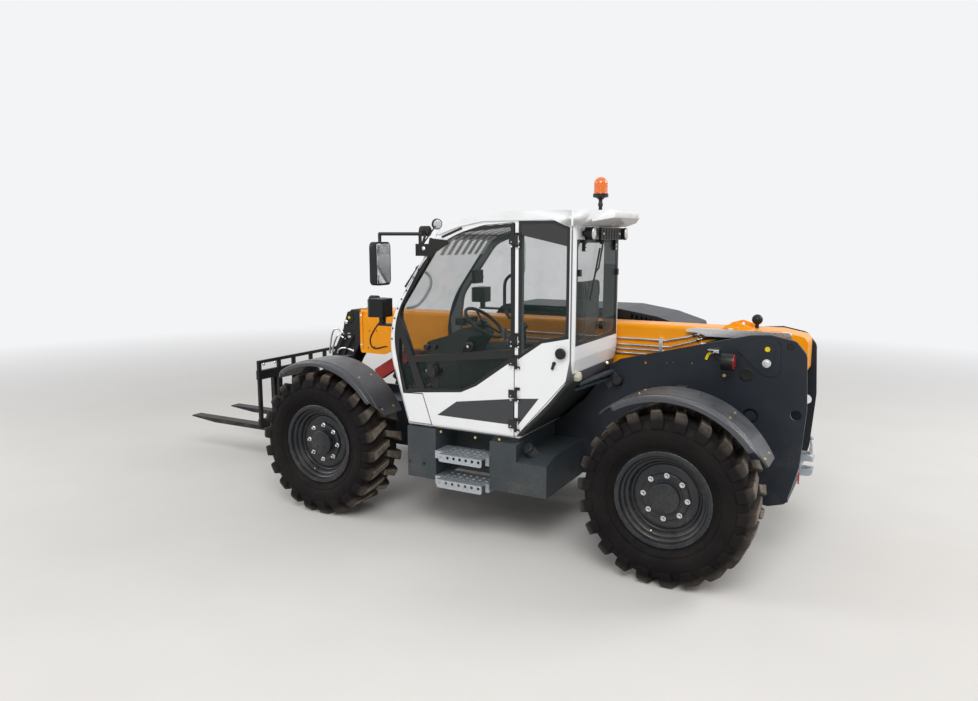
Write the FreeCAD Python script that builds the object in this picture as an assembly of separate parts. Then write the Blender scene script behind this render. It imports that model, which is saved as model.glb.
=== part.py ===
import FreeCAD, Part
import math
import os

# Telehandler with the cab on the left, the engine on the right and the boom between them.
# Millimetres. X forward, Y to the vehicle's left, Z up from the ground.
# While it is modelled, X is counted from the rear axle; every piece is then moved along X
# so that the origin lies under the middle of the whole machine.

Vector = FreeCAD.Vector
Y_AXIS = Vector(0, 1, 0)
Z_AXIS = Vector(0, 0, 1)

# Clearances
SEAT = 0.3
RUNNING = 0.05
PANEL_GAP = 8.0
ARC_SHARE = 0.98

# Wheels and axles
WHEELBASE = 2970.0
TRACK = 1870.0
TYRE_RADIUS = 610.0
TYRE_WIDTH = 460.0
LUG_HEIGHT = 38.0
LUG_COUNT = 22
LUG_WIDTH = 62.0
LUG_SLANT = 85.0
LUG_CHAMFER = 30.0
LUG_INSET = 3.0
LUG_OVERLAP = 15.0
LUG_ROOT = 12.0
TYRE_SIDES = 18
TYRE_LIP = 14.0
TYRE_BULGE = 130.0
TYRE_SHOULDER = 48.0
RIM_RADIUS = 305.0
RIM_FLANGE = 30.0
RIM_WIDTH = 380.0
RIM_WALL = 12.0
RIM_DISH = 95.0
HUB_RADIUS = 135.0
HUB_CAP_RADIUS = 105.0
NUT_COUNT = 8
NUT_RADIUS = 13.0
NUT_CIRCLE = 152.0
KINGPIN_INSET = 235.0
KINGPIN_Y = TRACK / 2 - KINGPIN_INSET
KINGPIN_RADIUS = 28.0
KNUCKLE_RADIUS = 105.0
YOKE_ARM = 34.0
YOKE_GAP = 130.0
STRUT_FOOT = 25.0
STRUT_WIDTH = 70.0
STRUT_THICK = 24.0
AXLE_HALF_HEIGHT = 85.0
AXLE_HALF_DEPTH = 75.0
DIFF_RADIUS = 145.0

# Fenders
FENDER_CLEARANCE = 95.0
FENDER_RADIUS = TYRE_RADIUS + FENDER_CLEARANCE
FENDER_WALL = 14.0
FENDER_WIDTH = 350.0
FENDER_OVERHANG = 215.0
FENDER_OUTER_Y = TRACK / 2 + FENDER_OVERHANG
FENDER_INNER_Y = FENDER_OUTER_Y - FENDER_WIDTH
FENDER_LIP = 32.0
FENDER_STEP = 55.0
FENDER_STEP_DROP = 10.0
FENDER_END_CUT = 110.0
FENDER_FORWARD_DEG = 47.0
FENDER_REARWARD_DEG = 155.0

# Frame
FRAME_OUTER_Y = 330.0
FRAME_PLATE = 25.0
FRAME_TOP = 865.0
FRAME_BOTTOM = 455.0
FRAME_OVERHANG = 390.0
FRAME_FRONT = WHEELBASE + FRAME_OVERHANG
FLOOR_FRONT = WHEELBASE - 330.0
AXLE_NOTCH_HALF = 230.0
AXLE_NOTCH_TOP = 760.0
CROSS_PLATE = 30.0
PIN_COVER = 12.0
COVER_STEP = 6.0
LIFT_RECESS = 58.0
LIFT_RECESS_RIM = 20.0
LIFT_BEARING = 22.0
TOWER_HOLES = (
    # x, z, radius of the round holes through both tower plates
    (-655.0, 1590.0, 24.0),
    (-716.0, 1105.0, 38.0),
    (382.0, 1397.0, 11.0),
    (218.0, 1409.0, 6.0),
    (171.0, 1412.0, 6.0),
    (27.0, 1422.0, 8.0),
)

# Boom
PIVOT_X = -500.0
PIVOT_Z = 1505.0
PIVOT_RADIUS = 45.0
PIVOT_BOSS = 88.0
BOOM_Y = -80.0
OUTER_WIDTH = 280.0
OUTER_TOP = 1665.0
OUTER_HEIGHT = 370.0
OUTER_WALL = 12.0
OUTER_FRONT = 3310.0
INNER_GAP = 8.0
INNER_WALL = 12.0
INNER_REAR = 240.0
INNER_FRONT = 3408.0
NOSE_REAR = 2960.0
NOSE_BOTTOM = 1235.0
HEAD_PLATE = 25.0
HEAD_HALF = 85.0
COLLAR_LENGTH = 30.0
COLLAR_PROUD = 16.0
PIPE_RADIUS = 9.0
PIPE_STANDOFF = 3.0
GUARD_WIDTH = 46.0
PROP_HALF = 40.0

# Fork carriage
TILT_X = 3860.0
TILT_Z = 610.0
TILT_RADIUS = 30.0
CARRIAGE_HALF = 640.0
CARRIAGE_BACK = 4190.0
CARRIAGE_FACE = 4285.0
CARRIAGE_BOTTOM = 470.0
CARRIAGE_TOP = 1150.0
RAIL_HEIGHT = 90.0
FORK_LENGTH = 1200.0
FORK_WIDTH = 120.0
FORK_THICK = 45.0
FORK_TOP = 400.0
FORK_SPACING = 560.0

# Cylinders
LIFT_BASE_X = -408.0
LIFT_BASE_Z = 1068.0
LIFT_EYE_X = 1100.0
LIFT_EYE_Z = 1190.0
LIFT_BARREL_RADIUS = 50.0
LIFT_ROD_RADIUS = 32.0
LIFT_PIN_RADIUS = 28.0
LIFT_EYE_WIDTH = 90.0
LIFT_NECK = 160.0
LIFT_RETRACT = 30.0
CYLINDER_BASE = 35.0
TILT_BASE_X = 3478.0
TILT_BASE_Z = 1390.0
TILT_EYE_X = 3905.0
TILT_EYE_Z = 846.0
TILT_BARREL_RADIUS = 52.0
TILT_ROD_RADIUS = 30.0
TILT_PIN_RADIUS = 25.0
TILT_EYE_WIDTH = 70.0
TILT_NECK = 120.0
TILT_RETRACT = 75.0

# Cab
CAB_RIGHT = 100.0
CAB_LEFT = 1050.0
CAB_WALL = 45.0
CAB_BOTTOM = 868.0
ROOF_TOP = 2533.0
ROOF_DEPTH = 68.0
CAB_TOP = ROOF_TOP - ROOF_DEPTH
CAB_REAR = 682.0
HINGE_X = 1125.0
DOOR_HINGES = (950.0, 1180.0, 1420.0, 1580.0, CAB_TOP - 165.0)
HINGE_LENGTH = 60.0
HINGE_END = 22.0
HINGE_LEAF = 62.0
POST_LEAF = 30.0
HINGE_THICK = 8.0
HINGE_OUT = 10.0
HINGE_BARREL = 9.0
HINGE_PIN = 5.0
LOCK_X = 1843.0
LOCK_Z = 1324.0
GLASS = 8.0
STEERING_LEAN = 38.0
STEERING_HUB = 26.0

# Left boxes, steps
BOX_TOP = 862.0
BOX_BOTTOM = 450.0
RECESS_Y = 720.0
STEP_DEPTH = 260.0
STEP_OUT = 1130.0
STEP_SHEET = 4.0
STEP_HOLES = 7
STEP_HOLE_RADIUS = 12.0
STEP_SLOT_RADIUS = 14.0
RECESS_REAR = 1348.0
RECESS_FRONT = 1830.0
FRONT_BOX_END = WHEELBASE - 875.0

# Hood
HOOD_REAR = 240.0
HOOD_FRONT = WHEELBASE - 860.0
HOOD_INNER = -385.0
HOOD_OUTER = -1060.0
HOOD_TOP = 1735.0
HOOD_WALL = 14.0
HOOD_BASE = 860.0
HOOD_AXIS_Y = -369.0
HOOD_AXIS_Z = 1700.0
HOOD_HINGE_RADIUS = 9.0
HOOD_HINGE_LENGTH = 80.0
HOOD_HINGES = (900.0, 1400.0, 1860.0)
SLOT_COUNT = 9
SLOT_PITCH = 42.0
SLOT_WIDTH = 20.0

# Mirrors
MIRROR_X = 2190.0
MIRROR_Y = 1200.0
MIRROR_Z = 2150.0
MIRROR_WIDTH = 190.0
MIRROR_HEIGHT = 330.0
MIRROR_TUBE = 13.0
MIRROR_FOOT_X = 1964.0
MIRROR_FOOT_Y = 1030.0
FRONT_LAMP = (1979.0, 935.0, 2397.0)
SMALL_MIRROR = (1925.0, 850.0, 2452.0)
SMALL_MIRROR_RADIUS = 42.0
TOWER_LAMP_X = -258.0
TOWER_LAMP_Y = 450.0
TOWER_LAMP_Z = 1471.0
TOWER_LAMP_RADIUS = 60.0
REAR_LAMP_Z = CAB_TOP - 90.0

HITCH_REAR = -820.0
FORK_TIP = CARRIAGE_FACE + FORK_THICK + FORK_LENGTH
ORIGIN_X = (FORK_TIP + HITCH_REAR) / 2

OUTER_LEFT = BOOM_Y + OUTER_WIDTH / 2
OUTER_RIGHT = BOOM_Y - OUTER_WIDTH / 2
OUTER_BOTTOM = OUTER_TOP - OUTER_HEIGHT


# Shape helpers


def box(x0, x1, y0, y1, z0, z1):
    return Part.makeBox(x1 - x0, y1 - y0, z1 - z0, Vector(x0, y0, z0))


def rod(start, end, radius):
    start = Vector(*start)
    along = Vector(*end) - start
    return Part.makeCylinder(radius, along.Length, start, along)


def cross_rod(x, z, y0, y1, radius):
    return Part.makeCylinder(radius, y1 - y0, Vector(x, y0, z), Y_AXIS)


def fitting_radii(flat, radii):
    """Corner radii, each made smaller where two arcs would meet on their common edge."""
    count = len(flat)
    tangents = []
    for index, here in enumerate(flat):
        half = (flat[index - 1] - here).getAngle(flat[(index + 1) % count] - here) / 2
        tangents.append(math.tan(half))
    shares = [1.0] * count
    for index in range(count):
        following = (index + 1) % count
        length = (flat[following] - flat[index]).Length
        needed = radii[index] / tangents[index] + radii[following] / tangents[following]
        if needed > length:
            share = ARC_SHARE * length / needed
            shares[index] = min(shares[index], share)
            shares[following] = min(shares[following], share)
    return [radius * share for radius, share in zip(radii, shares)]


def outline(points, place, radius=0.0):
    """Closed wire through (u, v) or (u, v, corner radius), corners rounded by arcs."""
    flat = [Vector(p[0], p[1], 0) for p in points]
    radii = fitting_radii(flat, [p[2] if len(p) > 2 else radius for p in points])
    corners = []
    for index, here in enumerate(flat):
        if radii[index] == 0:
            corners.append((here, here, here))
            continue
        back = (flat[index - 1] - here).normalize()
        ahead = (flat[(index + 1) % len(flat)] - here).normalize()
        half = back.getAngle(ahead) / 2
        reach = radii[index] / math.tan(half)
        middle = (back + ahead).normalize()
        inset = radii[index] / math.sin(half) - radii[index]
        corners.append((here + back * reach, here + middle * inset, here + ahead * reach))
    edges = []
    for index, (start, middle, end) in enumerate(corners):
        following = corners[(index + 1) % len(corners)][0]
        if radii[index] > 0:
            edges.append(Part.Arc(place(start), place(middle), place(end)).toShape())
        edges.append(Part.LineSegment(place(end), place(following)).toShape())
    return Part.Wire(edges)


def prism_xz(points, y0, y1, radius=0.0):
    wire = outline(points, lambda p: Vector(p.x, y0, p.y), radius)
    return Part.Face(wire).extrude(Vector(0, y1 - y0, 0))


def prism_xy(points, z0, z1, radius=0.0):
    wire = outline(points, lambda p: Vector(p.x, p.y, z0), radius)
    return Part.Face(wire).extrude(Vector(0, 0, z1 - z0))


def prism_yz(points, x0, x1, radius=0.0):
    wire = outline(points, lambda p: Vector(x0, p.x, p.y), radius)
    return Part.Face(wire).extrude(Vector(x1 - x0, 0, 0))


def inset_prism_xz(points, inset, y0, y1, radius=0.0):
    wire = outline(points, lambda p: Vector(p.x, y0, p.y), radius)
    smaller = Part.Face(wire).makeOffset2D(-inset)
    return Part.Face(smaller.Wires[0]).extrude(Vector(0, y1 - y0, 0))


def lathe_y(profile, x, z, radius=0.0):
    """Solid turned about a cross axis through (x, z); the profile is (y, distance)."""
    wire = outline(profile, lambda p: Vector(x, p.x, z + p.y), radius)
    return Part.Face(wire).revolve(Vector(x, 0, z), Y_AXIS, 360)


def fuse(first, *others):
    return first.multiFuse(list(others)).removeSplitter()


def cut(shape, *tools):
    return shape.cut(list(tools))


def turned(shape, centre, axis, degrees):
    copy = shape.copy()
    copy.rotate(centre, axis, degrees)
    return copy


def moved(shape, x=0.0, y=0.0, z=0.0):
    copy = shape.copy()
    copy.translate(Vector(x, y, z))
    return copy


def other_side(shape):
    return shape.mirror(Vector(0, 0, 0), Y_AXIS)


def group(*shapes):
    solids = []
    for shape in shapes:
        solids.extend(shape.Solids)
    return Part.makeCompound(solids)


def save(name, shape):
    shape = moved(shape, x=-ORIGIN_X)
    shape.exportStep("parts/" + name + ".step")
    print(name, len(shape.Solids), "solids", shape.isValid())


# Wheels


def faceted_ring(profile, x, z, sides):
    """Closed ring of flat facets about a cross axis; the profile is (y, distance to the flats)."""
    step = 2 * math.pi / sides
    rings = []
    for y, flat in profile:
        reach = flat / math.cos(step / 2)
        angles = [math.pi / 2 + (k + 0.5) * step for k in range(sides)]
        rings.append([Vector(x + reach * math.cos(a), y, z + reach * math.sin(a)) for a in angles])
    faces = []
    for index, ring in enumerate(rings):
        following = rings[(index + 1) % len(rings)]
        for k in range(sides):
            n = (k + 1) % sides
            corners = [ring[k], ring[n], following[n], following[k], ring[k]]
            faces.append(Part.Face(Part.makePolygon(corners)))
    solid = Part.Solid(Part.Shell(faces))
    if solid.Volume < 0:
        solid.reverse()
    return solid


def tyre_body(x):
    half = TYRE_WIDTH / 2
    middle = TRACK / 2
    tread = TYRE_RADIUS - LUG_HEIGHT
    bead = RIM_RADIUS + SEAT
    bead_half = RIM_WIDTH / 2 - RIM_WALL - SEAT
    side = ((bead_half, bead), (bead_half, bead + RIM_FLANGE + TYRE_LIP), (half, bead + TYRE_BULGE),
            (half - TYRE_SHOULDER, tread))
    profile = [(middle - y, radius) for y, radius in side]
    profile += [(middle + y, radius) for y, radius in reversed(side)]
    return faceted_ring(profile, x, TYRE_RADIUS, TYRE_SIDES)


def tyre(x):
    """Ring with two staggered rows of slanted bars; two of their tips stand on the ground."""
    centre = Vector(x, TRACK / 2, TYRE_RADIUS)
    middle = TRACK / 2
    half = TYRE_WIDTH / 2 - LUG_INSET
    flat = half - LUG_CHAMFER
    pitch = 360.0 / LUG_COUNT
    tip_radius = TYRE_RADIUS / math.cos(math.radians(pitch / 4))
    tip_ahead = LUG_SLANT * (flat + LUG_OVERLAP) / (half + LUG_OVERLAP) + LUG_WIDTH / 2
    top = TYRE_RADIUS + math.sqrt(tip_radius ** 2 - tip_ahead ** 2)
    tip_angle = math.degrees(math.asin(tip_ahead / tip_radius))
    root = 2 * TYRE_RADIUS - LUG_HEIGHT - LUG_ROOT
    foot = TYRE_RADIUS + RIM_RADIUS + TYRE_BULGE + LUG_ROOT
    lugs = []
    for side in (1, -1):
        bar = prism_xy([
            (x - LUG_WIDTH / 2, middle - side * LUG_OVERLAP),
            (x + LUG_WIDTH / 2, middle - side * LUG_OVERLAP),
            (x + LUG_SLANT + LUG_WIDTH / 2, middle + side * half),
            (x + LUG_SLANT - LUG_WIDTH / 2, middle + side * half),
        ], foot, top)
        envelope = prism_yz([
            (middle - side * LUG_OVERLAP, root),
            (middle - side * LUG_OVERLAP, top),
            (middle + side * flat, top),
            (middle + side * half, foot),
            (middle + side * (half - TYRE_SHOULDER), foot),
            (middle + side * (flat - TYRE_SHOULDER), root),
        ], x - LUG_WIDTH, x + LUG_SLANT + LUG_WIDTH)
        lug = bar.common(envelope)
        start = 180.0 - tip_angle - side * pitch / 4
        for index in range(LUG_COUNT):
            lugs.append(turned(lug, centre, Y_AXIS, start + index * pitch))
    return tyre_body(x).multiFuse(lugs)


def rim(x):
    middle = TRACK / 2
    half = RIM_WIDTH / 2
    disc = middle + half - RIM_DISH
    outer = RIM_RADIUS + RIM_FLANGE
    inner = RIM_RADIUS - RIM_WALL
    barrel = lathe_y([
        (middle - half, inner),
        (middle - half, outer),
        (middle - half + RIM_WALL, outer),
        (middle - half + RIM_WALL, RIM_RADIUS),
        (middle + half - RIM_WALL, RIM_RADIUS),
        (middle + half - RIM_WALL, outer),
        (middle + half, outer),
        (middle + half, inner),
        (disc + 50, inner),
        (disc, 225),
        (disc, HUB_CAP_RADIUS),
        (disc - 16, HUB_CAP_RADIUS),
        (disc - 16, 225),
        (disc + 34 - 16, inner),
    ], x, TYRE_RADIUS)
    hub = lathe_y([
        (disc - 16 - 90, 0),
        (disc - 16 - 90, HUB_RADIUS),
        (disc - 16, HUB_RADIUS),
        (disc - 16, HUB_CAP_RADIUS),
        (disc + 45, HUB_CAP_RADIUS),
        (disc + 62, HUB_CAP_RADIUS - 25),
        (disc + 62, 0),
    ], x, TYRE_RADIUS)
    flange = lathe_y([
        (disc, HUB_CAP_RADIUS - 5),
        (disc, 162),
        (disc + 14, 162),
        (disc + 20, 120),
        (disc + 20, HUB_CAP_RADIUS - 5),
    ], x, TYRE_RADIUS)
    nuts = []
    for index in range(NUT_COUNT):
        angle = 2 * math.pi * index / NUT_COUNT
        nut_x = x + NUT_CIRCLE * math.cos(angle)
        nut_z = TYRE_RADIUS + NUT_CIRCLE * math.sin(angle)
        nuts.append(cross_rod(nut_x, nut_z, disc - 5, disc + 24, NUT_RADIUS))
    return fuse(barrel, hub, flange, *nuts)


def hub_face_y():
    return TRACK / 2 + RIM_WIDTH / 2 - RIM_DISH - 16 - 90


def knuckle(x):
    """Swivel housing between the yoke arms, with its kingpins and the hub carrier."""
    z = TYRE_RADIUS
    housing = Part.makeCylinder(
        KNUCKLE_RADIUS - 10, 2 * YOKE_GAP - 2, Vector(x, KINGPIN_Y, z - YOKE_GAP + 1), Z_AXIS)
    reach = YOKE_GAP + YOKE_ARM
    pin = Part.makeCylinder(
        KINGPIN_RADIUS, 2 * reach + STRUT_FOOT, Vector(x, KINGPIN_Y, z - reach), Z_AXIS)
    carrier = lathe_y([
        (KINGPIN_Y, 0),
        (KINGPIN_Y, 80),
        (KINGPIN_Y + 90, 100),
        (hub_face_y() - SEAT, HUB_RADIUS - 5),
        (hub_face_y() - SEAT, 0),
    ], x, z)
    arm = prism_xy([
        (x - 40, KINGPIN_Y - 30),
        (x - 40, KINGPIN_Y + 30),
        (x - 235, KINGPIN_Y - 60, 20),
        (x - 235, KINGPIN_Y - 110, 20),
    ], z - 20, z + 20)
    return fuse(housing, pin, carrier, arm, fender_strut(x))


def fender(x):
    centre = Vector(x, 0, TYRE_RADIUS)
    outer = FENDER_RADIUS + FENDER_WALL
    sweep = FENDER_REARWARD_DEG - FENDER_FORWARD_DEG
    profile = [
        (FENDER_INNER_Y, FENDER_RADIUS),
        (FENDER_INNER_Y, outer, 6),
        (FENDER_OUTER_Y - FENDER_STEP, outer, 4),
        (FENDER_OUTER_Y - FENDER_STEP + 8, outer - FENDER_STEP_DROP / 2, 4),
        (FENDER_OUTER_Y, outer - FENDER_STEP_DROP, 12),
        (FENDER_OUTER_Y, FENDER_RADIUS - FENDER_LIP),
        (FENDER_OUTER_Y - FENDER_WALL, FENDER_RADIUS - FENDER_LIP),
        (FENDER_OUTER_Y - FENDER_WALL, FENDER_RADIUS),
    ]
    wire = outline(profile, lambda p: Vector(x + p.y, p.x, TYRE_RADIUS))
    shell = Part.Face(wire).revolve(centre, Y_AXIS, -sweep)
    ends = [turned(fender_corner(x, -1), centre, Y_AXIS, 90 - FENDER_FORWARD_DEG),
            turned(fender_corner(x, 1), centre, Y_AXIS, 90 - FENDER_REARWARD_DEG)]
    return turned(shell, centre, Y_AXIS, -FENDER_FORWARD_DEG).cut(ends)


def fender_corner(x, way):
    """Wedge over the wheel's top that slants the outer corner of a fender's end."""
    low = TYRE_RADIUS + FENDER_RADIUS - 2 * FENDER_LIP
    high = TYRE_RADIUS + FENDER_RADIUS + 2 * FENDER_WALL
    return prism_xy([
        (x - way, FENDER_OUTER_Y + 1),
        (x - way, FENDER_OUTER_Y - FENDER_END_CUT),
        (x + way * FENDER_END_CUT * 1.4, FENDER_OUTER_Y + 1),
    ], low, high)


def fender_strut(x):
    """Strut from the top of the kingpin up beside the tyre and out under the fender."""
    z = TYRE_RADIUS
    low = z + YOKE_GAP + YOKE_ARM + 5
    high = z + FENDER_RADIUS - SEAT
    inner = KINGPIN_Y - 60
    post = prism_yz([
        (KINGPIN_Y + KINGPIN_RADIUS, low),
        (KINGPIN_Y + KINGPIN_RADIUS, low + STRUT_FOOT - 5),
        (inner + STRUT_THICK, low + STRUT_FOOT - 5),
        (inner + STRUT_THICK, high - STRUT_THICK, 10),
        (FENDER_OUTER_Y - 120, high - STRUT_THICK),
        (FENDER_OUTER_Y - 120, high),
        (inner, high, 25),
        (inner, low, 10),
    ], x - STRUT_WIDTH / 2, x + STRUT_WIDTH / 2)
    under = Part.makeCylinder(FENDER_RADIUS - SEAT, TRACK, Vector(x, 0, z), Y_AXIS)
    return post.common(under)


def axle(x):
    z = TYRE_RADIUS
    end = KINGPIN_Y - 150
    beam = Part.makeLoft([
        outline([(-h, -d), (h, -d), (h, d), (-h, d)],
                lambda p, y=y: Vector(x + p.x, y, z + p.y), 20)
        for y, h, d in ((-end, 62, 70), (-200, AXLE_HALF_DEPTH, AXLE_HALF_HEIGHT),
                        (200, AXLE_HALF_DEPTH, AXLE_HALF_HEIGHT), (end, 62, 70))
    ], True, True)
    diff = Part.makeSphere(DIFF_RADIUS, Vector(x, BOOM_Y, z))
    nose_way = 1 if x < WHEELBASE / 2 else -1
    nose = rod((x, BOOM_Y, z), (x + nose_way * 270, BOOM_Y, z), 70)
    pieces = [diff, nose]
    for side in (1, -1):
        low_y = side * (end - 20)
        high_y = side * (KINGPIN_Y + 42)
        span = sorted((low_y, high_y))
        for way in (1, -1):
            heights = sorted((z + way * YOKE_GAP, z + way * (YOKE_GAP + YOKE_ARM)))
            arm = box(x - 55, x + 55, span[0], span[1], heights[0], heights[1])
            hole = Part.makeCylinder(
                KINGPIN_RADIUS + RUNNING, YOKE_ARM + 2,
                Vector(x, side * KINGPIN_Y, heights[0] - 1), Z_AXIS)
            pieces.append(arm.cut(hole))
        back = sorted((side * (end - 20), side * (end + 20)))
        pieces.append(box(x - 55, x + 55, back[0], back[1],
                          z - YOKE_GAP - YOKE_ARM, z + YOKE_GAP + YOKE_ARM))
    return fuse(beam, *pieces)


WHEELS = (
    # name, axle position, side
    ("front_left", WHEELBASE, 1),
    ("front_right", WHEELBASE, -1),
    ("rear_left", 0.0, 1),
    ("rear_right", 0.0, -1),
)


def build_wheels():
    tyres = {}
    rims = {}
    for name, x, side in WHEELS:
        if x not in tyres:
            tyres[x] = tyre(x)
            rims[x] = rim(x)
        place = (lambda s: s) if side > 0 else other_side
        save("tyre_" + name, place(tyres[x]))
        save("rim_" + name, place(rims[x]))
        save("knuckle_" + name, place(knuckle(x)))
        save("fender_" + name, place(fender(x)))
    save("axles", group(axle(WHEELBASE), axle(0.0)))


# Frame

TOWER = (
    # x, z, corner radius of the rear tower, from the front foot over the top to the rear foot
    (1095, FRAME_TOP, 0),
    (867, 1068, 40),
    (640, 1375, 40),
    (582, 1412, 40),
    (-380, 1655, 60),
    (-520, 1665, 60),
    (-690, 1630, 60),
    (-765, 1540, 80),
    (-785, 1150, 200),
    (-755, 730, 200),
    (-680, FRAME_BOTTOM - 5, 40),
    (-560, FRAME_BOTTOM - 40, 30),
)


def side_plate(y0, y1):
    points = [(FRAME_FRONT, FRAME_BOTTOM + 60, 40), (FRAME_FRONT, FRAME_TOP, 40)]
    points += list(TOWER)
    for x in (0.0, WHEELBASE):
        points += [
            (x - AXLE_NOTCH_HALF, FRAME_BOTTOM, 30),
            (x - AXLE_NOTCH_HALF + 70, AXLE_NOTCH_TOP, 40),
            (x + AXLE_NOTCH_HALF - 70, AXLE_NOTCH_TOP, 40),
            (x + AXLE_NOTCH_HALF, FRAME_BOTTOM, 30),
        ]
    plate = prism_xz(points, y0, y1)
    y_low = min(y0, y1) - 1
    y_high = max(y0, y1) + 1
    holes = [
        cross_rod(PIVOT_X, PIVOT_Z, y_low, y_high, PIVOT_RADIUS),
        cross_rod(LIFT_BASE_X, LIFT_BASE_Z, y_low, y_high, LIFT_RECESS),
        prism_xz([(-410, 1335), (-322, 1350), (-322, 1404), (-410, 1389)], y_low, y_high, 26),
    ]
    holes += [cross_rod(x, z, y_low, y_high, radius) for x, z, radius in TOWER_HOLES]
    return plate.cut(holes)


def lift_bearing(side):
    """Plate behind the tower's round recess, with the hole for the lift cylinder's pin, and a rim."""
    inner = FRAME_OUTER_Y - FRAME_PLATE
    span = sorted((side * (inner - LIFT_BEARING), side * inner))
    disc = cross_rod(LIFT_BASE_X, LIFT_BASE_Z, span[0], span[1], LIFT_RECESS + 2 * LIFT_RECESS_RIM)
    hole = cross_rod(LIFT_BASE_X, LIFT_BASE_Z, span[0] - 1, span[1] + 1, LIFT_PIN_RADIUS + RUNNING)
    edge = sorted((side * (FRAME_OUTER_Y - 1), side * (FRAME_OUTER_Y + COVER_STEP)))
    rim_ring = cross_rod(LIFT_BASE_X, LIFT_BASE_Z, edge[0], edge[1], LIFT_RECESS + LIFT_RECESS_RIM)
    opening = cross_rod(LIFT_BASE_X, LIFT_BASE_Z, edge[0] - 1, edge[1] + 1, LIFT_RECESS)
    return [disc.cut(hole), rim_ring.cut(opening)]


def build_frame():
    inner = FRAME_OUTER_Y - FRAME_PLATE
    left = side_plate(inner, FRAME_OUTER_Y)
    right = side_plate(-FRAME_OUTER_Y, -inner)
    floor = FRAME_BOTTOM + 10
    crosses = [
        box(-690, -660, -inner, inner, FRAME_BOTTOM, 860),
        box(-640, -420, -inner, inner, FRAME_BOTTOM, FRAME_BOTTOM + 30),
        box(300, FLOOR_FRONT, -inner, inner, floor, floor + 16),
        box(300, 330, -inner, inner, floor, 800),
        box(FLOOR_FRONT - CROSS_PLATE, FLOOR_FRONT, -inner, inner, floor, 800),
        box(-170, 170, -inner, inner, AXLE_NOTCH_TOP, AXLE_NOTCH_TOP + CROSS_PLATE),
        box(WHEELBASE - 170, WHEELBASE + 170, -inner, inner, AXLE_NOTCH_TOP, AXLE_NOTCH_TOP + CROSS_PLATE),
        box(FRAME_FRONT - 60, FRAME_FRONT - 30, -inner, inner, FRAME_BOTTOM + 70, FRAME_TOP - 20),
    ]
    pads = []
    for x in (0.0, WHEELBASE):
        for side in (1, -1):
            span = sorted((side * 200, side * 280))
            pads.append(box(x - 60, x + 60, span[0], span[1],
                            TYRE_RADIUS + AXLE_HALF_HEIGHT + SEAT, AXLE_NOTCH_TOP))
    frame = fuse(left, right, *(crosses + pads + lift_bearing(1) + lift_bearing(-1)))
    save("chassis_frame", frame)
    save("frame_pins", group(pivot_pin(), lift_pin()))
    build_hitch()


PIVOT_COVER = (
    # x, z from the pivot, corner radius of the drop-shaped cover bolted over the boom's pivot pin
    (220, 57, 25),
    (60, 135, 150),
    (-92, 140, 70),
    (-92, -133, 50),
    (20, -133, 150),
)


def keyhole(x, z, y0, y1, reach, large, small):
    """Raised cover with a large round end above a small one."""
    middle = prism_xz([(x - large, z + reach), (x + large, z + reach),
                       (x + small, z - reach), (x - small, z - reach)], y0, y1)
    return fuse(middle, cross_rod(x, z + reach, y0, y1, large), cross_rod(x, z - reach, y0, y1, small))


def pivot_pin():
    """Boom pivot pin through both tower plates, with a stepped cover on each outer face."""
    end = FRAME_OUTER_Y + PIN_COVER
    pieces = []
    points = [(PIVOT_X + x, PIVOT_Z + z, radius) for x, z, radius in PIVOT_COVER]
    for side in (1, -1):
        plate = sorted((side * FRAME_OUTER_Y, side * end))
        step = sorted((side * (end - 1), side * (end + COVER_STEP)))
        pieces.append(prism_xz(points, plate[0], plate[1]))
        pieces.append(keyhole(PIVOT_X, PIVOT_Z, step[0], step[1], 50, 58, 40))
    return fuse(cross_rod(PIVOT_X, PIVOT_Z, -end, end, PIVOT_RADIUS), *pieces)


def lift_pin():
    """Lift cylinder's lower pin; its heads lie in the tower's round recesses."""
    inner = FRAME_OUTER_Y - FRAME_PLATE
    head = inner + PIN_COVER
    return fuse(
        cross_rod(LIFT_BASE_X, LIFT_BASE_Z, -head, head, LIFT_PIN_RADIUS),
        cross_rod(LIFT_BASE_X, LIFT_BASE_Z, inner, head, LIFT_RECESS - LIFT_RECESS_RIM),
        cross_rod(LIFT_BASE_X, LIFT_BASE_Z, -head, -inner, LIFT_RECESS - LIFT_RECESS_RIM))


def build_hitch():
    jaw = prism_xz([(-690, 600), (-690, 760), (-790, 760, 30), (HITCH_REAR, 745, 20),
                    (HITCH_REAR, 615, 20), (-790, 600, 30)], -60, 60)
    slot = box(HITCH_REAR - 1, -740, -61, 61, 648, 712)
    hole = Part.makeCylinder(20, 200, Vector(-785, 0, 590), Z_AXIS)
    jaw = jaw.cut([slot, hole])
    plate = box(-702, -690, -110, 110, 580, 780)
    save("rear_hitch", fuse(jaw, plate))


# Boom


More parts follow.
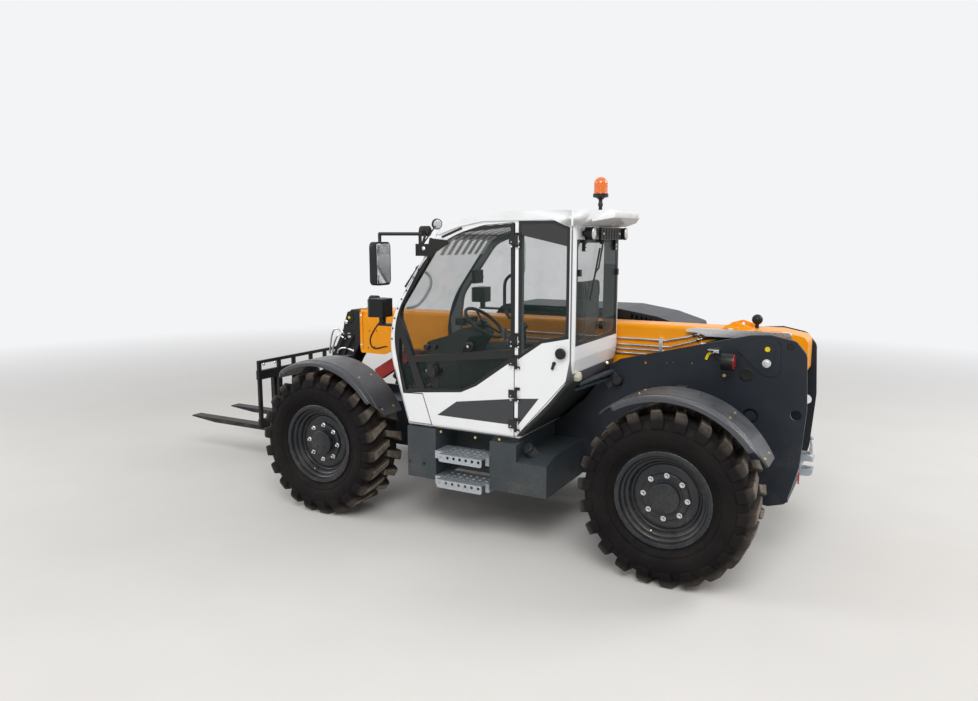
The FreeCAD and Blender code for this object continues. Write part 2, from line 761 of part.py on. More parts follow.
def build_boom():
    half = OUTER_WIDTH / 2
    tail = prism_xz([
        (PIVOT_X + 260, OUTER_BOTTOM),
        (PIVOT_X + 260, OUTER_TOP),
        (PIVOT_X - 40, OUTER_TOP, 60),
        (PIVOT_X - 240, OUTER_TOP - 40, 60),
        (PIVOT_X - 240, OUTER_BOTTOM + 60, 60),
        (PIVOT_X - 60, OUTER_BOTTOM, 60),
    ], OUTER_RIGHT, OUTER_LEFT)
    tube = box(PIVOT_X + 240, OUTER_FRONT, OUTER_RIGHT, OUTER_LEFT, OUTER_BOTTOM, OUTER_TOP)
    tube = fillet_along_x(tube, 30)
    hollow = box(PIVOT_X + 240, OUTER_FRONT + 1,
                 OUTER_RIGHT + OUTER_WALL, OUTER_LEFT - OUTER_WALL,
                 OUTER_BOTTOM + OUTER_WALL, OUTER_TOP - OUTER_WALL)
    tail_hollow = prism_xz([
        (PIVOT_X + 261, OUTER_BOTTOM + OUTER_WALL),
        (PIVOT_X + 261, OUTER_TOP - OUTER_WALL),
        (PIVOT_X + 120, OUTER_TOP - OUTER_WALL),
        (PIVOT_X + 120, OUTER_BOTTOM + OUTER_WALL),
    ], OUTER_RIGHT + OUTER_WALL, OUTER_LEFT - OUTER_WALL)
    nose_points = [
        (OUTER_FRONT, NOSE_BOTTOM, 20),
        (OUTER_FRONT, OUTER_TOP - 70, 20),
        (NOSE_REAR + 120, OUTER_TOP - 70, 80),
        (NOSE_REAR - 120, OUTER_BOTTOM + 40, 60),
        (NOSE_REAR - 60, OUTER_BOTTOM - 4, 20),
        (NOSE_REAR + 60, NOSE_BOTTOM, 40),
    ]
    nose_left = prism_xz(nose_points, OUTER_LEFT, OUTER_LEFT + 10)
    nose_right = prism_xz(nose_points, OUTER_RIGHT - 10, OUTER_RIGHT)
    keel = box(NOSE_REAR + 80, OUTER_FRONT, OUTER_RIGHT - 5, OUTER_LEFT + 5, NOSE_BOTTOM + 6,
               OUTER_BOTTOM + 2)
    boss = cross_rod(PIVOT_X, PIVOT_Z, -FRAME_OUTER_Y + FRAME_PLATE + 1,
                     FRAME_OUTER_Y - FRAME_PLATE - 1, PIVOT_BOSS)
    bore = cross_rod(PIVOT_X, PIVOT_Z, -FRAME_OUTER_Y, FRAME_OUTER_Y, PIVOT_RADIUS + RUNNING)
    collars = []
    for y0, y1 in ((OUTER_LEFT - 1, OUTER_LEFT + COLLAR_PROUD), (OUTER_RIGHT - COLLAR_PROUD, OUTER_RIGHT + 1)):
        collars.append(box(OUTER_FRONT - COLLAR_LENGTH, OUTER_FRONT, y0, y1, NOSE_BOTTOM + 40, OUTER_TOP - 30))
    boom = fuse(tail, tube, nose_left, nose_right, keel, boss, *(lift_ears() + top_lugs() + collars))
    boom = cut(boom, hollow, tail_hollow, bore)
    save("boom_outer", boom)
    save("safety_prop", safety_prop())
    save("boom_inner", inner_boom())
    save("boom_pipes", boom_pipes())


def fillet_along_x(shape, radius):
    edges = []
    for edge in shape.Edges:
        start = edge.Vertexes[0].Point
        end = edge.Vertexes[-1].Point
        if abs(start.y - end.y) < 1e-6 and abs(start.z - end.z) < 1e-6:
            edges.append(edge)
    return shape.makeFillet(radius, edges)


def top_lugs():
    """Two welded lugs on the boom's top, ahead of the pivot; the hose guard passes beside them."""
    lugs = []
    for y in (OUTER_LEFT - 32, OUTER_RIGHT + 12):
        lugs.append(prism_xz([
            (PIVOT_X + 380, OUTER_TOP - 5), (PIVOT_X + 350, OUTER_TOP + 22, 15),
            (PIVOT_X + 265, OUTER_TOP + 47, 30), (PIVOT_X + 195, OUTER_TOP + 25, 20),
            (PIVOT_X + 150, OUTER_TOP - 5),
        ], y, y + 20).cut(cross_rod(PIVOT_X + 262, OUTER_TOP + 18, y - 1, y + 21, 12)))
    return lugs


def safety_prop():
    """Square bar stowed under the boom's nose; its slanted end lies on the boom's underside."""
    top = OUTER_BOTTOM - SEAT
    return prism_xz([
        (3235, 1057, 8),
        (3175, 958, 8),
        (2660, top - 16, 8),
        (2660, top),
        (2839, top),
    ], BOOM_Y - PROP_HALF, BOOM_Y + PROP_HALF)


def lift_ears():
    """Two ears below the boom; the cylinder's eye runs between them with side room."""
    gap = LIFT_EYE_WIDTH / 2 + 4
    ears = []
    for side in (1, -1):
        span = sorted((BOOM_Y + side * gap, BOOM_Y + side * (gap + 24)))
        ear = prism_xz([
            (LIFT_EYE_X - 170, OUTER_BOTTOM + 4),
            (LIFT_EYE_X - 70, LIFT_EYE_Z - 30, 50),
            (LIFT_EYE_X, LIFT_EYE_Z - 78, 60),
            (LIFT_EYE_X + 75, LIFT_EYE_Z - 20, 50),
            (LIFT_EYE_X + 130, OUTER_BOTTOM + 4),
        ], span[0], span[1])
        head = sorted((BOOM_Y + side * (gap + 20), BOOM_Y + side * (gap + 44)))
        ears.append(ear)
        ears.append(cross_rod(LIFT_EYE_X, LIFT_EYE_Z, head[0], head[1], LIFT_PIN_RADIUS))
    return ears


def inner_boom():
    top = OUTER_TOP - OUTER_WALL - INNER_GAP
    bottom = OUTER_BOTTOM + OUTER_WALL + INNER_GAP
    left = OUTER_LEFT - OUTER_WALL - INNER_GAP
    right = OUTER_RIGHT + OUTER_WALL + INNER_GAP
    tube = box(INNER_REAR, INNER_FRONT, right, left, bottom, top)
    hollow = box(INNER_REAR - 1, INNER_FRONT - 40, right + INNER_WALL, left - INNER_WALL,
                 bottom + INNER_WALL, top - INNER_WALL)
    tube = tube.cut(hollow)
    wear = []
    for x in (INNER_REAR + 10, OUTER_FRONT - 260):
        wear.append(box(x, x + 180, right + 20, left - 20, bottom - INNER_GAP + SEAT, bottom))
        wear.append(box(x, x + 180, right + 20, left - 20, top, top + INNER_GAP - SEAT))
    head_points = [
        (OUTER_FRONT + 25, bottom + 20, 20),
        (OUTER_FRONT + 25, top, 0),
        (3460, top, 40),
        (3560, 1440, 150),
        (3700, 1180, 60),
        (3955, 700, 80),
        (3950, 525, 60),
        (3800, 500, 60),
        (3730, 640, 100),
        (3480, 1130, 120),
    ]
    plates = []
    for side in (1, -1):
        face = HEAD_HALF + HEAD_PLATE
        span = sorted((BOOM_Y + side * HEAD_HALF, BOOM_Y + side * face))
        plates.append(prism_xz(head_points, span[0], span[1]))
        raised = sorted((BOOM_Y + side * (face - 1), BOOM_Y + side * (face + 8)))
        plates.append(prism_xz([(3350, 1440, 20), (3350, 1628, 20), (3490, 1628, 30), (3556, 1440, 30)],
                               raised[0], raised[1]))
        step = sorted((BOOM_Y + side * (face + 7), BOOM_Y + side * (face + 14)))
        plates.append(turned(keyhole(3480, 1540, step[0], step[1], 38, 40, 26),
                             Vector(3480, 0, 1540), Y_AXIS, -45))
    web = prism_xz([
        (3610, 1352),
        (3586, 1342),
        (3538, 1430),
        (3450, top - 20),
        (3450, top),
        (3465, top),
        (3562, 1440),
    ], BOOM_Y - 90, BOOM_Y + 90)
    back = prism_xz([
        (OUTER_FRONT + 60, bottom + 30),
        (3490, 1150),
        (3720, 690),
        (3742, 702),
        (3515, 1160),
        (OUTER_FRONT + 84, bottom + 45),
    ], BOOM_Y - 90, BOOM_Y + 90)
    holes = [
        cross_rod(TILT_X, TILT_Z, BOOM_Y - 200, BOOM_Y + 200, TILT_RADIUS + RUNNING),
        cross_rod(TILT_BASE_X, TILT_BASE_Z, BOOM_Y - 200, BOOM_Y + 200, TILT_PIN_RADIUS + RUNNING),
    ]
    head = fuse(web, back, *plates)
    return cut(fuse(tube, head, *wear), *holes)


PIPE_ROWS = (
    # height of the straight run, x and z of the pipe's raised rear end
    (1545, 120, 1585),
    (1495, 90, 1550),
    (1460, 60, 1515),
    (1425, 30, 1480),
)


def boom_pipes():
    """Hydraulic pipes along the boom's left side, their clamps, and the guard bar over the hoses."""
    y = OUTER_LEFT + PIPE_RADIUS + PIPE_STANDOFF
    pipes = []
    for z, rear_x, rear_z in PIPE_ROWS:
        bend = (rear_x + 180, y, z)
        pipes.append(rod((1750, y, z), bend, PIPE_RADIUS))
        pipes.append(Part.makeSphere(PIPE_RADIUS, Vector(*bend)))
        pipes.append(rod(bend, (rear_x, y, rear_z), PIPE_RADIUS))
        pipes.append(rod((rear_x + 20, y, rear_z - 7), (rear_x - 30, y, rear_z + 11), PIPE_RADIUS * 1.2))
    low = PIPE_ROWS[-1][0] - 20
    high = PIPE_ROWS[0][0] + 20
    clamps = [box(x, x + 30, OUTER_LEFT + SEAT, OUTER_LEFT + 2 * (PIPE_RADIUS + PIPE_STANDOFF), low, high)
              for x in (320, 950, 1700)]
    guard = prism_xz([
        (PIVOT_X - 130, 1602, 26),
        (PIVOT_X - 130, 1660, 26),
        (PIVOT_X + 560, 1660, 20),
        (PIVOT_X + 635, 1648, 8),
        (PIVOT_X + 635, 1628, 8),
        (PIVOT_X + 540, 1626, 20),
        (PIVOT_X + 480, 1602, 20),
    ], OUTER_LEFT + SEAT, OUTER_LEFT + GUARD_WIDTH)
    return group(fuse(clamps[0], clamps[1], clamps[2], *pipes), guard)


# Cylinders


def cylinder_pair(base, eye, y, barrel_radius, rod_radius, pin_radius, eye_width, neck, retract):
    """Barrel with base eye and rod with end eye, both along the line between two pins."""
    start = Vector(base[0], y, base[1])
    end = Vector(eye[0], y, eye[1])
    along = (end - start).normalize()
    length = (end - start).Length
    barrel_end = start + along * (length - neck)
    eye_outer = pin_radius * 1.75
    shell = Part.makeCylinder(barrel_radius, length - neck - eye_outer * 0.7,
                              start + along * eye_outer * 0.7, along)
    base_eye = cross_rod(start.x, start.z, y - eye_width / 2, y + eye_width / 2, eye_outer)
    barrel = shell.fuse(base_eye)
    bore_start = start + along * (eye_outer + CYLINDER_BASE)
    bore = Part.makeCylinder(rod_radius + RUNNING, length, bore_start, along)
    pin_hole = cross_rod(start.x, start.z, y - eye_width, y + eye_width, pin_radius + RUNNING)
    barrel = barrel.cut([bore, pin_hole])
    tail = eye_outer + CYLINDER_BASE + retract
    shaft = Part.makeCylinder(rod_radius, length - tail - eye_outer * 0.7, start + along * tail, along)
    end_eye = cross_rod(end.x, end.z, y - eye_width / 2, y + eye_width / 2, eye_outer)
    eye_hole = cross_rod(end.x, end.z, y - eye_width, y + eye_width, pin_radius + RUNNING)
    piston = shaft.fuse(end_eye).cut(eye_hole)
    return barrel, piston


def build_cylinders():
    barrel, piston = cylinder_pair(
        (LIFT_BASE_X, LIFT_BASE_Z), (LIFT_EYE_X, LIFT_EYE_Z), BOOM_Y,
        LIFT_BARREL_RADIUS, LIFT_ROD_RADIUS, LIFT_PIN_RADIUS, LIFT_EYE_WIDTH, LIFT_NECK, LIFT_RETRACT)
    save("lift_cylinder_barrel", barrel)
    save("lift_cylinder_rod", piston)
    barrel, piston = cylinder_pair(
        (TILT_BASE_X, TILT_BASE_Z), (TILT_EYE_X, TILT_EYE_Z), BOOM_Y,
        TILT_BARREL_RADIUS, TILT_ROD_RADIUS, TILT_PIN_RADIUS, TILT_EYE_WIDTH, TILT_NECK, TILT_RETRACT)
    save("tilt_cylinder_barrel", barrel)
    save("tilt_cylinder_rod", piston)
    save("head_pins", group(
        cross_rod(TILT_X, TILT_Z, BOOM_Y - 175, BOOM_Y + 175, TILT_RADIUS),
        cross_rod(TILT_BASE_X, TILT_BASE_Z, BOOM_Y - 118, BOOM_Y + 118, TILT_PIN_RADIUS)))


# Fork carriage


def build_carriage():
    left = BOOM_Y + CARRIAGE_HALF
    right = BOOM_Y - CARRIAGE_HALF
    ears = []
    for side in (1, -1):
        span = sorted((BOOM_Y + side * 116, BOOM_Y + side * 146))
        ear = prism_xz([
            (TILT_X, TILT_Z - 72),
            (CARRIAGE_BACK + 10, CARRIAGE_BOTTOM),
            (CARRIAGE_BACK + 10, CARRIAGE_TOP - 100),
            (CARRIAGE_BACK - 40, CARRIAGE_TOP - 100),
            (CARRIAGE_BACK - 90, TILT_EYE_Z + 120, 60),
            (CARRIAGE_BACK - 120, TILT_Z + 110, 60),
            (TILT_X + 40, TILT_Z + 72),
            (TILT_X, TILT_Z + 72),
        ], span[0], span[1])
        eye = cross_rod(TILT_X, TILT_Z, span[0], span[1], 72)
        hole = cross_rod(TILT_X, TILT_Z, BOOM_Y - 200, BOOM_Y + 200, TILT_RADIUS + RUNNING)
        ears.append(fuse(ear, eye).cut(hole))
    lugs = []
    gap = TILT_EYE_WIDTH / 2 + 4
    for side in (1, -1):
        span = sorted((BOOM_Y + side * gap, BOOM_Y + side * (gap + 18)))
        lug = prism_xz([
            (TILT_EYE_X - 45, TILT_EYE_Z, 40),
            (TILT_EYE_X - 20, TILT_EYE_Z - 50, 30),
            (CARRIAGE_BACK + 10, TILT_EYE_Z - 60),
            (CARRIAGE_BACK + 10, TILT_EYE_Z + 60),
            (TILT_EYE_X - 20, TILT_EYE_Z + 50, 30),
        ], span[0], span[1])
        head = sorted((BOOM_Y + side * (gap + 14), BOOM_Y + side * (gap + 40)))
        lugs.append(lug)
        lugs.append(cross_rod(TILT_EYE_X, TILT_EYE_Z, head[0], head[1], TILT_PIN_RADIUS))
    bars = [
        box(CARRIAGE_BACK, CARRIAGE_BACK + 35, right, left, CARRIAGE_BOTTOM, CARRIAGE_BOTTOM + RAIL_HEIGHT),
        box(CARRIAGE_BACK, CARRIAGE_BACK + 35, right, left, CARRIAGE_TOP - 190, CARRIAGE_TOP - 100),
    ]
    for y in (left - 40, right, BOOM_Y + 116, BOOM_Y - 146, BOOM_Y + 330, BOOM_Y - 370):
        bars.append(box(CARRIAGE_BACK, CARRIAGE_BACK + 25, y, y + 40, CARRIAGE_BOTTOM, CARRIAGE_TOP))
    bars.append(box(CARRIAGE_BACK, CARRIAGE_BACK + 25, right, left, CARRIAGE_TOP - 30, CARRIAGE_TOP))
    bars.append(box(CARRIAGE_BACK, CARRIAGE_BACK + 20, BOOM_Y - 146, BOOM_Y + 146,
                    CARRIAGE_BOTTOM, CARRIAGE_TOP - 100))
    save("fork_carriage", fuse(bars[0], *(bars[1:] + ears + lugs)))
    forks = []
    for side in (1, -1):
        y = BOOM_Y + side * FORK_SPACING / 2
        forks.append(fork(y))
    save("forks", group(*forks))


def fork(y):
    rear = CARRIAGE_FACE
    face = rear + FORK_THICK
    bottom = FORK_TOP - FORK_THICK
    blade = prism_xz([
        (rear, bottom, 40),
        (rear, CARRIAGE_TOP - 130),
        (face, CARRIAGE_TOP - 130),
        (face, FORK_TOP, 12),
        (FORK_TIP, FORK_TOP),
        (FORK_TIP, FORK_TOP - 12),
        (FORK_TIP - 350, bottom),
    ], y - FORK_WIDTH / 2, y + FORK_WIDTH / 2)
    back = CARRIAGE_BACK + 35 + SEAT
    hooks = []
    for z0, z1 in ((CARRIAGE_BOTTOM + 5, CARRIAGE_BOTTOM + 75), (CARRIAGE_TOP - 180, CARRIAGE_TOP - 130)):
        hooks.append(box(back, rear + 5, y - FORK_WIDTH / 2, y + FORK_WIDTH / 2, z0, z1))
    return fuse(blade, *hooks)


# Cab

CAB_SIDE = (
    # x, z, corner radius of the cab's side view
    (2097, CAB_BOTTOM, 0),
    (2334, 1643, 720),
    (1830, CAB_TOP - 113, 0),
    (1745, CAB_TOP - 67, 0),
    (1400, CAB_TOP + 30, 0),
    (CAB_REAR, CAB_TOP + 30, 0),
    (CAB_REAR, 1487, 60),
    (715, 1310, 60),
    (845, 1150, 100),
    (1110, CAB_BOTTOM, 20),
)

ROOF_SIDE = (
    # x, z, corner radius of the roof's side view, underside first
    (1835, CAB_TOP - 113, 0),
    (1600, CAB_TOP - 37, 300),
    (1400, CAB_TOP, 200),
    (845, CAB_TOP + 6, 60),
    (745, CAB_TOP - 40, 20),
    (640, CAB_TOP - 35, 40),
    (455, CAB_TOP + 25, 100),
    (262, CAB_TOP - 3, 0),
    (262, CAB_TOP + 15, 0),
    (470, ROOF_TOP, 150),
    (1180, ROOF_TOP, 400),
    (1420, ROOF_TOP - 10, 300),
    (1745, CAB_TOP - 33, 150),
)

DOOR_SIDE = (
    # x, z, corner radius of the door's side view
    (HINGE_X + 14, CAB_BOTTOM + 8, 0),
    (1862, CAB_BOTTOM + 8, 0),
    (1950, 1130, 0),
    (2133, 1121, 0),
    (2240, 1666, 600),
    (1838, CAB_TOP - 144, 780),
    (1400, CAB_TOP - 27, 300),
    (HINGE_X + 14, CAB_TOP - 9, 15),
)

UPPER_PANE = (
    # x, z, corner radius of the door's upper window
    (HINGE_X + 50, 1536, 15),
    (2035, 1428, 10),
    (2165, 1765, 150),
    (1740, CAB_TOP - 95, 400),
    (HINGE_X + 50, CAB_TOP - 41, 20),
)

LOWER_PANE = (
    # x, z, corner radius of the door's lower window
    (HINGE_X + 55, 1472, 8),
    (1480, 1258, 40),
    (1590, 1200, 60),
    (1925, 1172, 10),
    (2010, 1378, 10),
)

FRONT_PANE = (
    # x, z, corner radius of the small window ahead of the door's slanted bar
    (1992, 1160, 8),
    (2104, 1150, 8),
    (2166, 1400, 60),
    (2158, 1590, 8),
)

REAR_PANE = (
    # x, z, corner radius of the fixed window behind the door
    (HINGE_X - 36, CAB_TOP - 25, 15),
    (HINGE_X - 36, 1513, 10),
    (933, 1621, 30),
    (742, 1662, 10),
    (742, CAB_TOP - 65, 10),
    (835, CAB_TOP - 25, 20),
)


def cab_solid(inset):
    if inset == 0:
        solid = prism_xz(CAB_SIDE, CAB_RIGHT, CAB_LEFT)
        return round_cab(solid)
    return inset_prism_xz(CAB_SIDE, inset, CAB_RIGHT + inset, CAB_LEFT - inset)


def round_cab(solid):
    """Round the outer edges that run up the front and down the rear of both sides."""
    edges = []
    for edge in solid.Edges:
        box_of_edge = edge.BoundBox
        if box_of_edge.YLength > 1:
            continue
        at_front = box_of_edge.XMin > 1820 and box_of_edge.ZMax > 1000
        at_rear = box_of_edge.XMax < CAB_REAR + 12 and box_of_edge.ZMin > 1300
        if at_front or at_rear:
            edges.append(edge)
    return solid.makeFillet(40, edges)


def roof_solid():
    roof = prism_xz(ROOF_SIDE, CAB_RIGHT, CAB_LEFT + 12)
    plan = prism_xy([
        (255, CAB_RIGHT + 40, 120), (255, CAB_LEFT - 20, 160), (700, CAB_LEFT + 12, 200),
        (1840, CAB_LEFT + 12, 90), (1840, CAB_RIGHT, 90), (600, CAB_RIGHT, 200),
    ], CAB_TOP - 165, ROOF_TOP + 1)
    return roof.common(plan)


def build_cab():
    roof = roof_solid()
    roof_hatch = prism_xy([(1150, CAB_RIGHT + 110), (1700, CAB_RIGHT + 110), (1700, CAB_LEFT - 130),
                           (1150, CAB_LEFT - 130)], CAB_TOP - 165, ROOF_TOP + 1, 40)
    outer = cab_solid(0)
    cavity = cab_solid(CAB_WALL)
    door_hole = prism_xz(DOOR_SIDE, CAB_LEFT - CAB_WALL - 1, CAB_LEFT + 1)
    door_body = inset_prism_xz(DOOR_SIDE, PANEL_GAP, CAB_LEFT - CAB_WALL, CAB_LEFT + 1)
    door_body = door_body.common(outer)
    rear_hole = prism_xz(REAR_PANE, CAB_LEFT - CAB_WALL - 1, CAB_LEFT + 1)
    right_hole = prism_xz([
        (800, 1500, 40), (2040, 1430, 40), (2150, 1560, 120), (2110, 1850, 200),
        (1790, CAB_TOP - 175, 200), (1500, CAB_TOP - 65, 60), (800, CAB_TOP - 65, 40),
    ], CAB_RIGHT - 1, CAB_RIGHT + CAB_WALL + 1)
    back_hole = prism_yz([
        (CAB_RIGHT + 70, 1610), (CAB_LEFT - 60, 1610),
        (CAB_LEFT - 60, CAB_TOP - 155), (CAB_RIGHT + 70, CAB_TOP - 155),
    ], CAB_REAR - 20, CAB_REAR + CAB_WALL + 20, 50)
    front_hole = prism_yz([
        (CAB_RIGHT + 45, 1120), (CAB_LEFT - 45, 1120),
        (CAB_LEFT - 45, CAB_TOP - 135), (CAB_RIGHT + 45, CAB_TOP - 135),
    ], 1750, 2420, 40)
    shell = cut(outer, cavity, roof, door_hole, rear_hole, right_hole, back_hole, front_hole, roof_hatch)
    save("cab_shell", fuse(shell, *fixed_hinge_leaves()))
    save("cab_roof", roof.cut(roof_hatch))
    save("cab_glass", cab_glass(outer, rear_hole, right_hole, back_hole, front_hole, roof_hatch, roof))
    build_door(door_body)
    build_interior()


def cab_glass(outer, rear_hole, right_hole, back_hole, front_hole, roof_hatch, roof):
    """Panes set in the holes, flush with the outside, each as thick as the glass."""
    skin = outer.cut(cab_solid(GLASS))
    panes = [skin.common(hole) for hole in (rear_hole, right_hole, back_hole)]
    front = skin.common(front_hole).cut(roof)
    top = roof_hatch.common(prism_xz([
        (1000, CAB_TOP + 20), (1000, CAB_TOP + 28), (1390, CAB_TOP + 28), (1745, CAB_TOP - 57), (1745, CAB_TOP - 65),
        (1388, CAB_TOP + 20)], CAB_RIGHT, CAB_LEFT))
    return group(front, top, *panes)


def hinge_rod(z0, z1, radius):
    return Part.makeCylinder(radius, z1 - z0, Vector(HINGE_X, CAB_LEFT + HINGE_OUT, z0), Z_AXIS)


def fixed_hinge_leaves():
    """Post side of each door hinge: a leaf with a short barrel above and below, and the pin."""
    pieces = []
    for z in DOOR_HINGES:
        top = z + HINGE_LENGTH
        pieces.append(hinge_rod(z - HINGE_END, top + HINGE_END, HINGE_PIN))
        for low, high in ((z - HINGE_END, z - 1), (top + 1, top + HINGE_END)):
            pieces.append(hinge_rod(low, high, HINGE_BARREL))
            pieces.append(box(HINGE_X - POST_LEAF, HINGE_X, CAB_LEFT - 2, CAB_LEFT + HINGE_THICK,
                              low, high))
    return pieces


def build_door(body):
    outlines = (UPPER_PANE, LOWER_PANE, FRONT_PANE)
    holes = [prism_xz(side, CAB_LEFT - CAB_WALL - 1, CAB_LEFT + 1) for side in outlines]
    frame = body.cut(holes)
    straps = []
    for z in DOOR_HINGES:
        straps.append(box(HINGE_X, HINGE_X + HINGE_LEAF, CAB_LEFT + SEAT, CAB_LEFT + HINGE_THICK,
                          z, z + HINGE_LENGTH))
        straps.append(box(HINGE_X + 30, HINGE_X + HINGE_LEAF, CAB_LEFT - 5, CAB_LEFT + 2,
                          z, z + HINGE_LENGTH))
        straps.append(hinge_rod(z, z + HINGE_LENGTH, HINGE_BARREL))
    rose = cross_rod(LOCK_X, LOCK_Z, CAB_LEFT - CAB_WALL, CAB_LEFT - 8, 62)
    knob = cross_rod(LOCK_X, LOCK_Z, CAB_LEFT - 10, CAB_LEFT + 38, 42)
    arm = box(LOCK_X - 30, LOCK_X + 30, CAB_LEFT - CAB_WALL, CAB_LEFT - 20, LOCK_Z - 160, LOCK_Z)
    bores = [hinge_rod(z - 1, z + HINGE_LENGTH + 1, HINGE_PIN + RUNNING) for z in DOOR_HINGES]
    save("cab_door", fuse(frame, rose, knob, arm, *straps).cut(bores))
    panes = [prism_xz(side, CAB_LEFT - GLASS - 12, CAB_LEFT - 12).common(body).cut([rose, knob, arm])
             for side in outlines]
    save("door_glass", group(*panes))


def build_interior():
    floor = CAB_BOTTOM + CAB_WALL
    y0 = CAB_RIGHT + CAB_WALL + SEAT
    y1 = CAB_LEFT - CAB_WALL - 12
    dash = prism_xz([
        (1980, floor + SEAT), (2095, 1300, 40), (2100, 1500, 60), (1900, 1560, 60), (1740, 1640, 30),
        (1690, 1560, 30), (1800, 1380, 60), (1780, floor + SEAT, 0),
    ], 330, 760)
    console = prism_xz([
        (1170, floor + SEAT), (900, 1190, 60), (800, 1330, 30), (800, 1430, 60), (1350, 1480, 60),
        (1560, 1400, 60), (1560, floor + SEAT),
    ], y0, y0 + 190)
    lean = math.radians(STEERING_LEAN)
    upward = Vector(-math.sin(lean), 0, math.cos(lean))
    centre = Vector(1672, 550, 1662)
    foot = centre - upward * (STEERING_HUB + SEAT)
    column = Part.makeCylinder(28, 180, foot - upward * 180, upward)
    stick = rod((1440, y0 + 95, 1420), (1455, y0 + 95, 1600), 11)
    knob = Part.makeSphere(32, Vector(1455, y0 + 95, 1615))
    pedals = []
    for y in (400, 600):
        pedals.append(prism_xz([(1670, floor + SEAT), (1715, floor + SEAT), (1770, 1030, 10), (1752, 1042, 5)],
                               y, y + 80))
    save("cab_dash", group(fuse(dash, column), fuse(console, stick, knob), *pedals))
    ring = Part.makeTorus(175, 14, Vector(0, 0, 0), Z_AXIS)
    spokes = [rod((0, 0, -10), (170 * math.cos(a), 170 * math.sin(a), 0), 10)
              for a in (math.radians(90), math.radians(210), math.radians(330))]
    hub = Part.makeCylinder(42, STEERING_HUB + 10, Vector(0, 0, -STEERING_HUB), Z_AXIS)
    wheel = fuse(ring, hub, *spokes)
    wheel.rotate(Vector(0, 0, 0), Y_AXIS, -STEERING_LEAN)
    wheel.translate(centre)
    save("steering_wheel", wheel)
    cushion = prism_xz([(860, 1350), (1330, 1380), (1350, 1450), (1300, 1480), (860, 1460)],
                       340, 800, 25)
    backrest = prism_xz([(770, 1430), (905, 1440), (880, 1700), (800, 2050), (730, 2050), (735, 1700)],
                        350, 790, 25)
    base = prism_xz([(1170, floor + SEAT), (1290, floor + SEAT), (1290, 1380), (900, 1380), (900, 1190)],
                    400, 740)
    save("driver_seat", fuse(cushion, backrest, base))


# Left side


def build_left_side():
    y0 = FRAME_OUTER_Y + SEAT
    front_box = prism_xz([(RECESS_FRONT, BOX_BOTTOM), (FRONT_BOX_END, BOX_BOTTOM), (FRONT_BOX_END, BOX_TOP),
                          (RECESS_FRONT, BOX_TOP)], y0, CAB_LEFT, 8)
    recess = box(RECESS_REAR - 8, RECESS_FRONT + 10, RECESS_Y - 20, RECESS_Y, BOX_BOTTOM + 5, BOX_TOP)
    second = prism_xz([(1125, BOX_BOTTOM), (RECESS_REAR, BOX_BOTTOM), (RECESS_REAR, 830), (1125, 830)],
                      y0, CAB_LEFT, 8)
    third = prism_yz([(y0, BOX_BOTTOM), (CAB_LEFT, BOX_BOTTOM), (CAB_LEFT, 690), (CAB_LEFT - 160, 735),
                      (y0, 735)], 877, 1126)
    filler = rod((1030, 900, 715), (1060, 985, 800), 40)
    bracket = box(1130, RECESS_FRONT + 30, y0, CAB_LEFT - 60, 829, CAB_BOTTOM - SEAT)
    bracket = bracket.cut(box(RECESS_REAR + 1, RECESS_FRONT - 1, RECESS_Y, CAB_LEFT, 800, 900))
    save("side_boxes", fuse(front_box, recess, second, third, filler, bracket))
    steps = [step(x0, x1, top, lip) for x0, x1, top, lip in ((1375, 1755, 692, 60), (1375, 1775, 488, 65))]
    save("access_steps", group(*steps))


def step(x0, x1, top, lip):
    """Folded sheet step between the boxes, with a row of holes in its lip and slots in its deck."""
    inner = STEP_OUT - STEP_DEPTH
    deck = box(x0, x1, inner, STEP_OUT, top - STEP_SHEET, top)
    front = prism_xz([(x0, top - lip, 15), (x1, top - lip, 15), (x1, top), (x0, top)],
                     STEP_OUT - STEP_SHEET, STEP_OUT)
    rear = box(x0, x1, inner, inner + STEP_SHEET, top - lip, top)
    rear_end = box(RECESS_REAR + SEAT, x0 + STEP_SHEET, inner, STEP_OUT - 70, top - lip, top)
    front_end = box(x1 - STEP_SHEET, RECESS_FRONT - SEAT, inner, STEP_OUT - 70, top - lip, top)
    holes = []
    pitch = (x1 - x0) / STEP_HOLES
    for index in range(STEP_HOLES):
        x = x0 + (index + 0.5) * pitch
        holes.append(cross_rod(x, top - 22, STEP_OUT - 2 * STEP_SHEET, STEP_OUT + 1, STEP_HOLE_RADIUS))
        for y in (inner + 70, inner + 130, inner + 190):
            holes.append(Part.makeCylinder(STEP_SLOT_RADIUS, 4 * STEP_SHEET,
                                           Vector(x, y, top - 2 * STEP_SHEET), Z_AXIS))
    return fuse(deck, front, rear, rear_end, front_end).cut(holes)


# Engine side

HOOD_SIDE = (
    # x, z, corner radius of the hood's side view
    (HOOD_FRONT, HOOD_BASE, 0),
    (HOOD_FRONT, 1560, 100),
    (1990, HOOD_TOP, 120),
    (840, HOOD_TOP, 200),
    (500, 1682, 100),
    (HOOD_REAR, 1600, 30),
    (HOOD_REAR - 20, 1420, 30),
    (600, 1400, 60),
    (800, 1230, 60),
    (800, HOOD_BASE, 0),
)


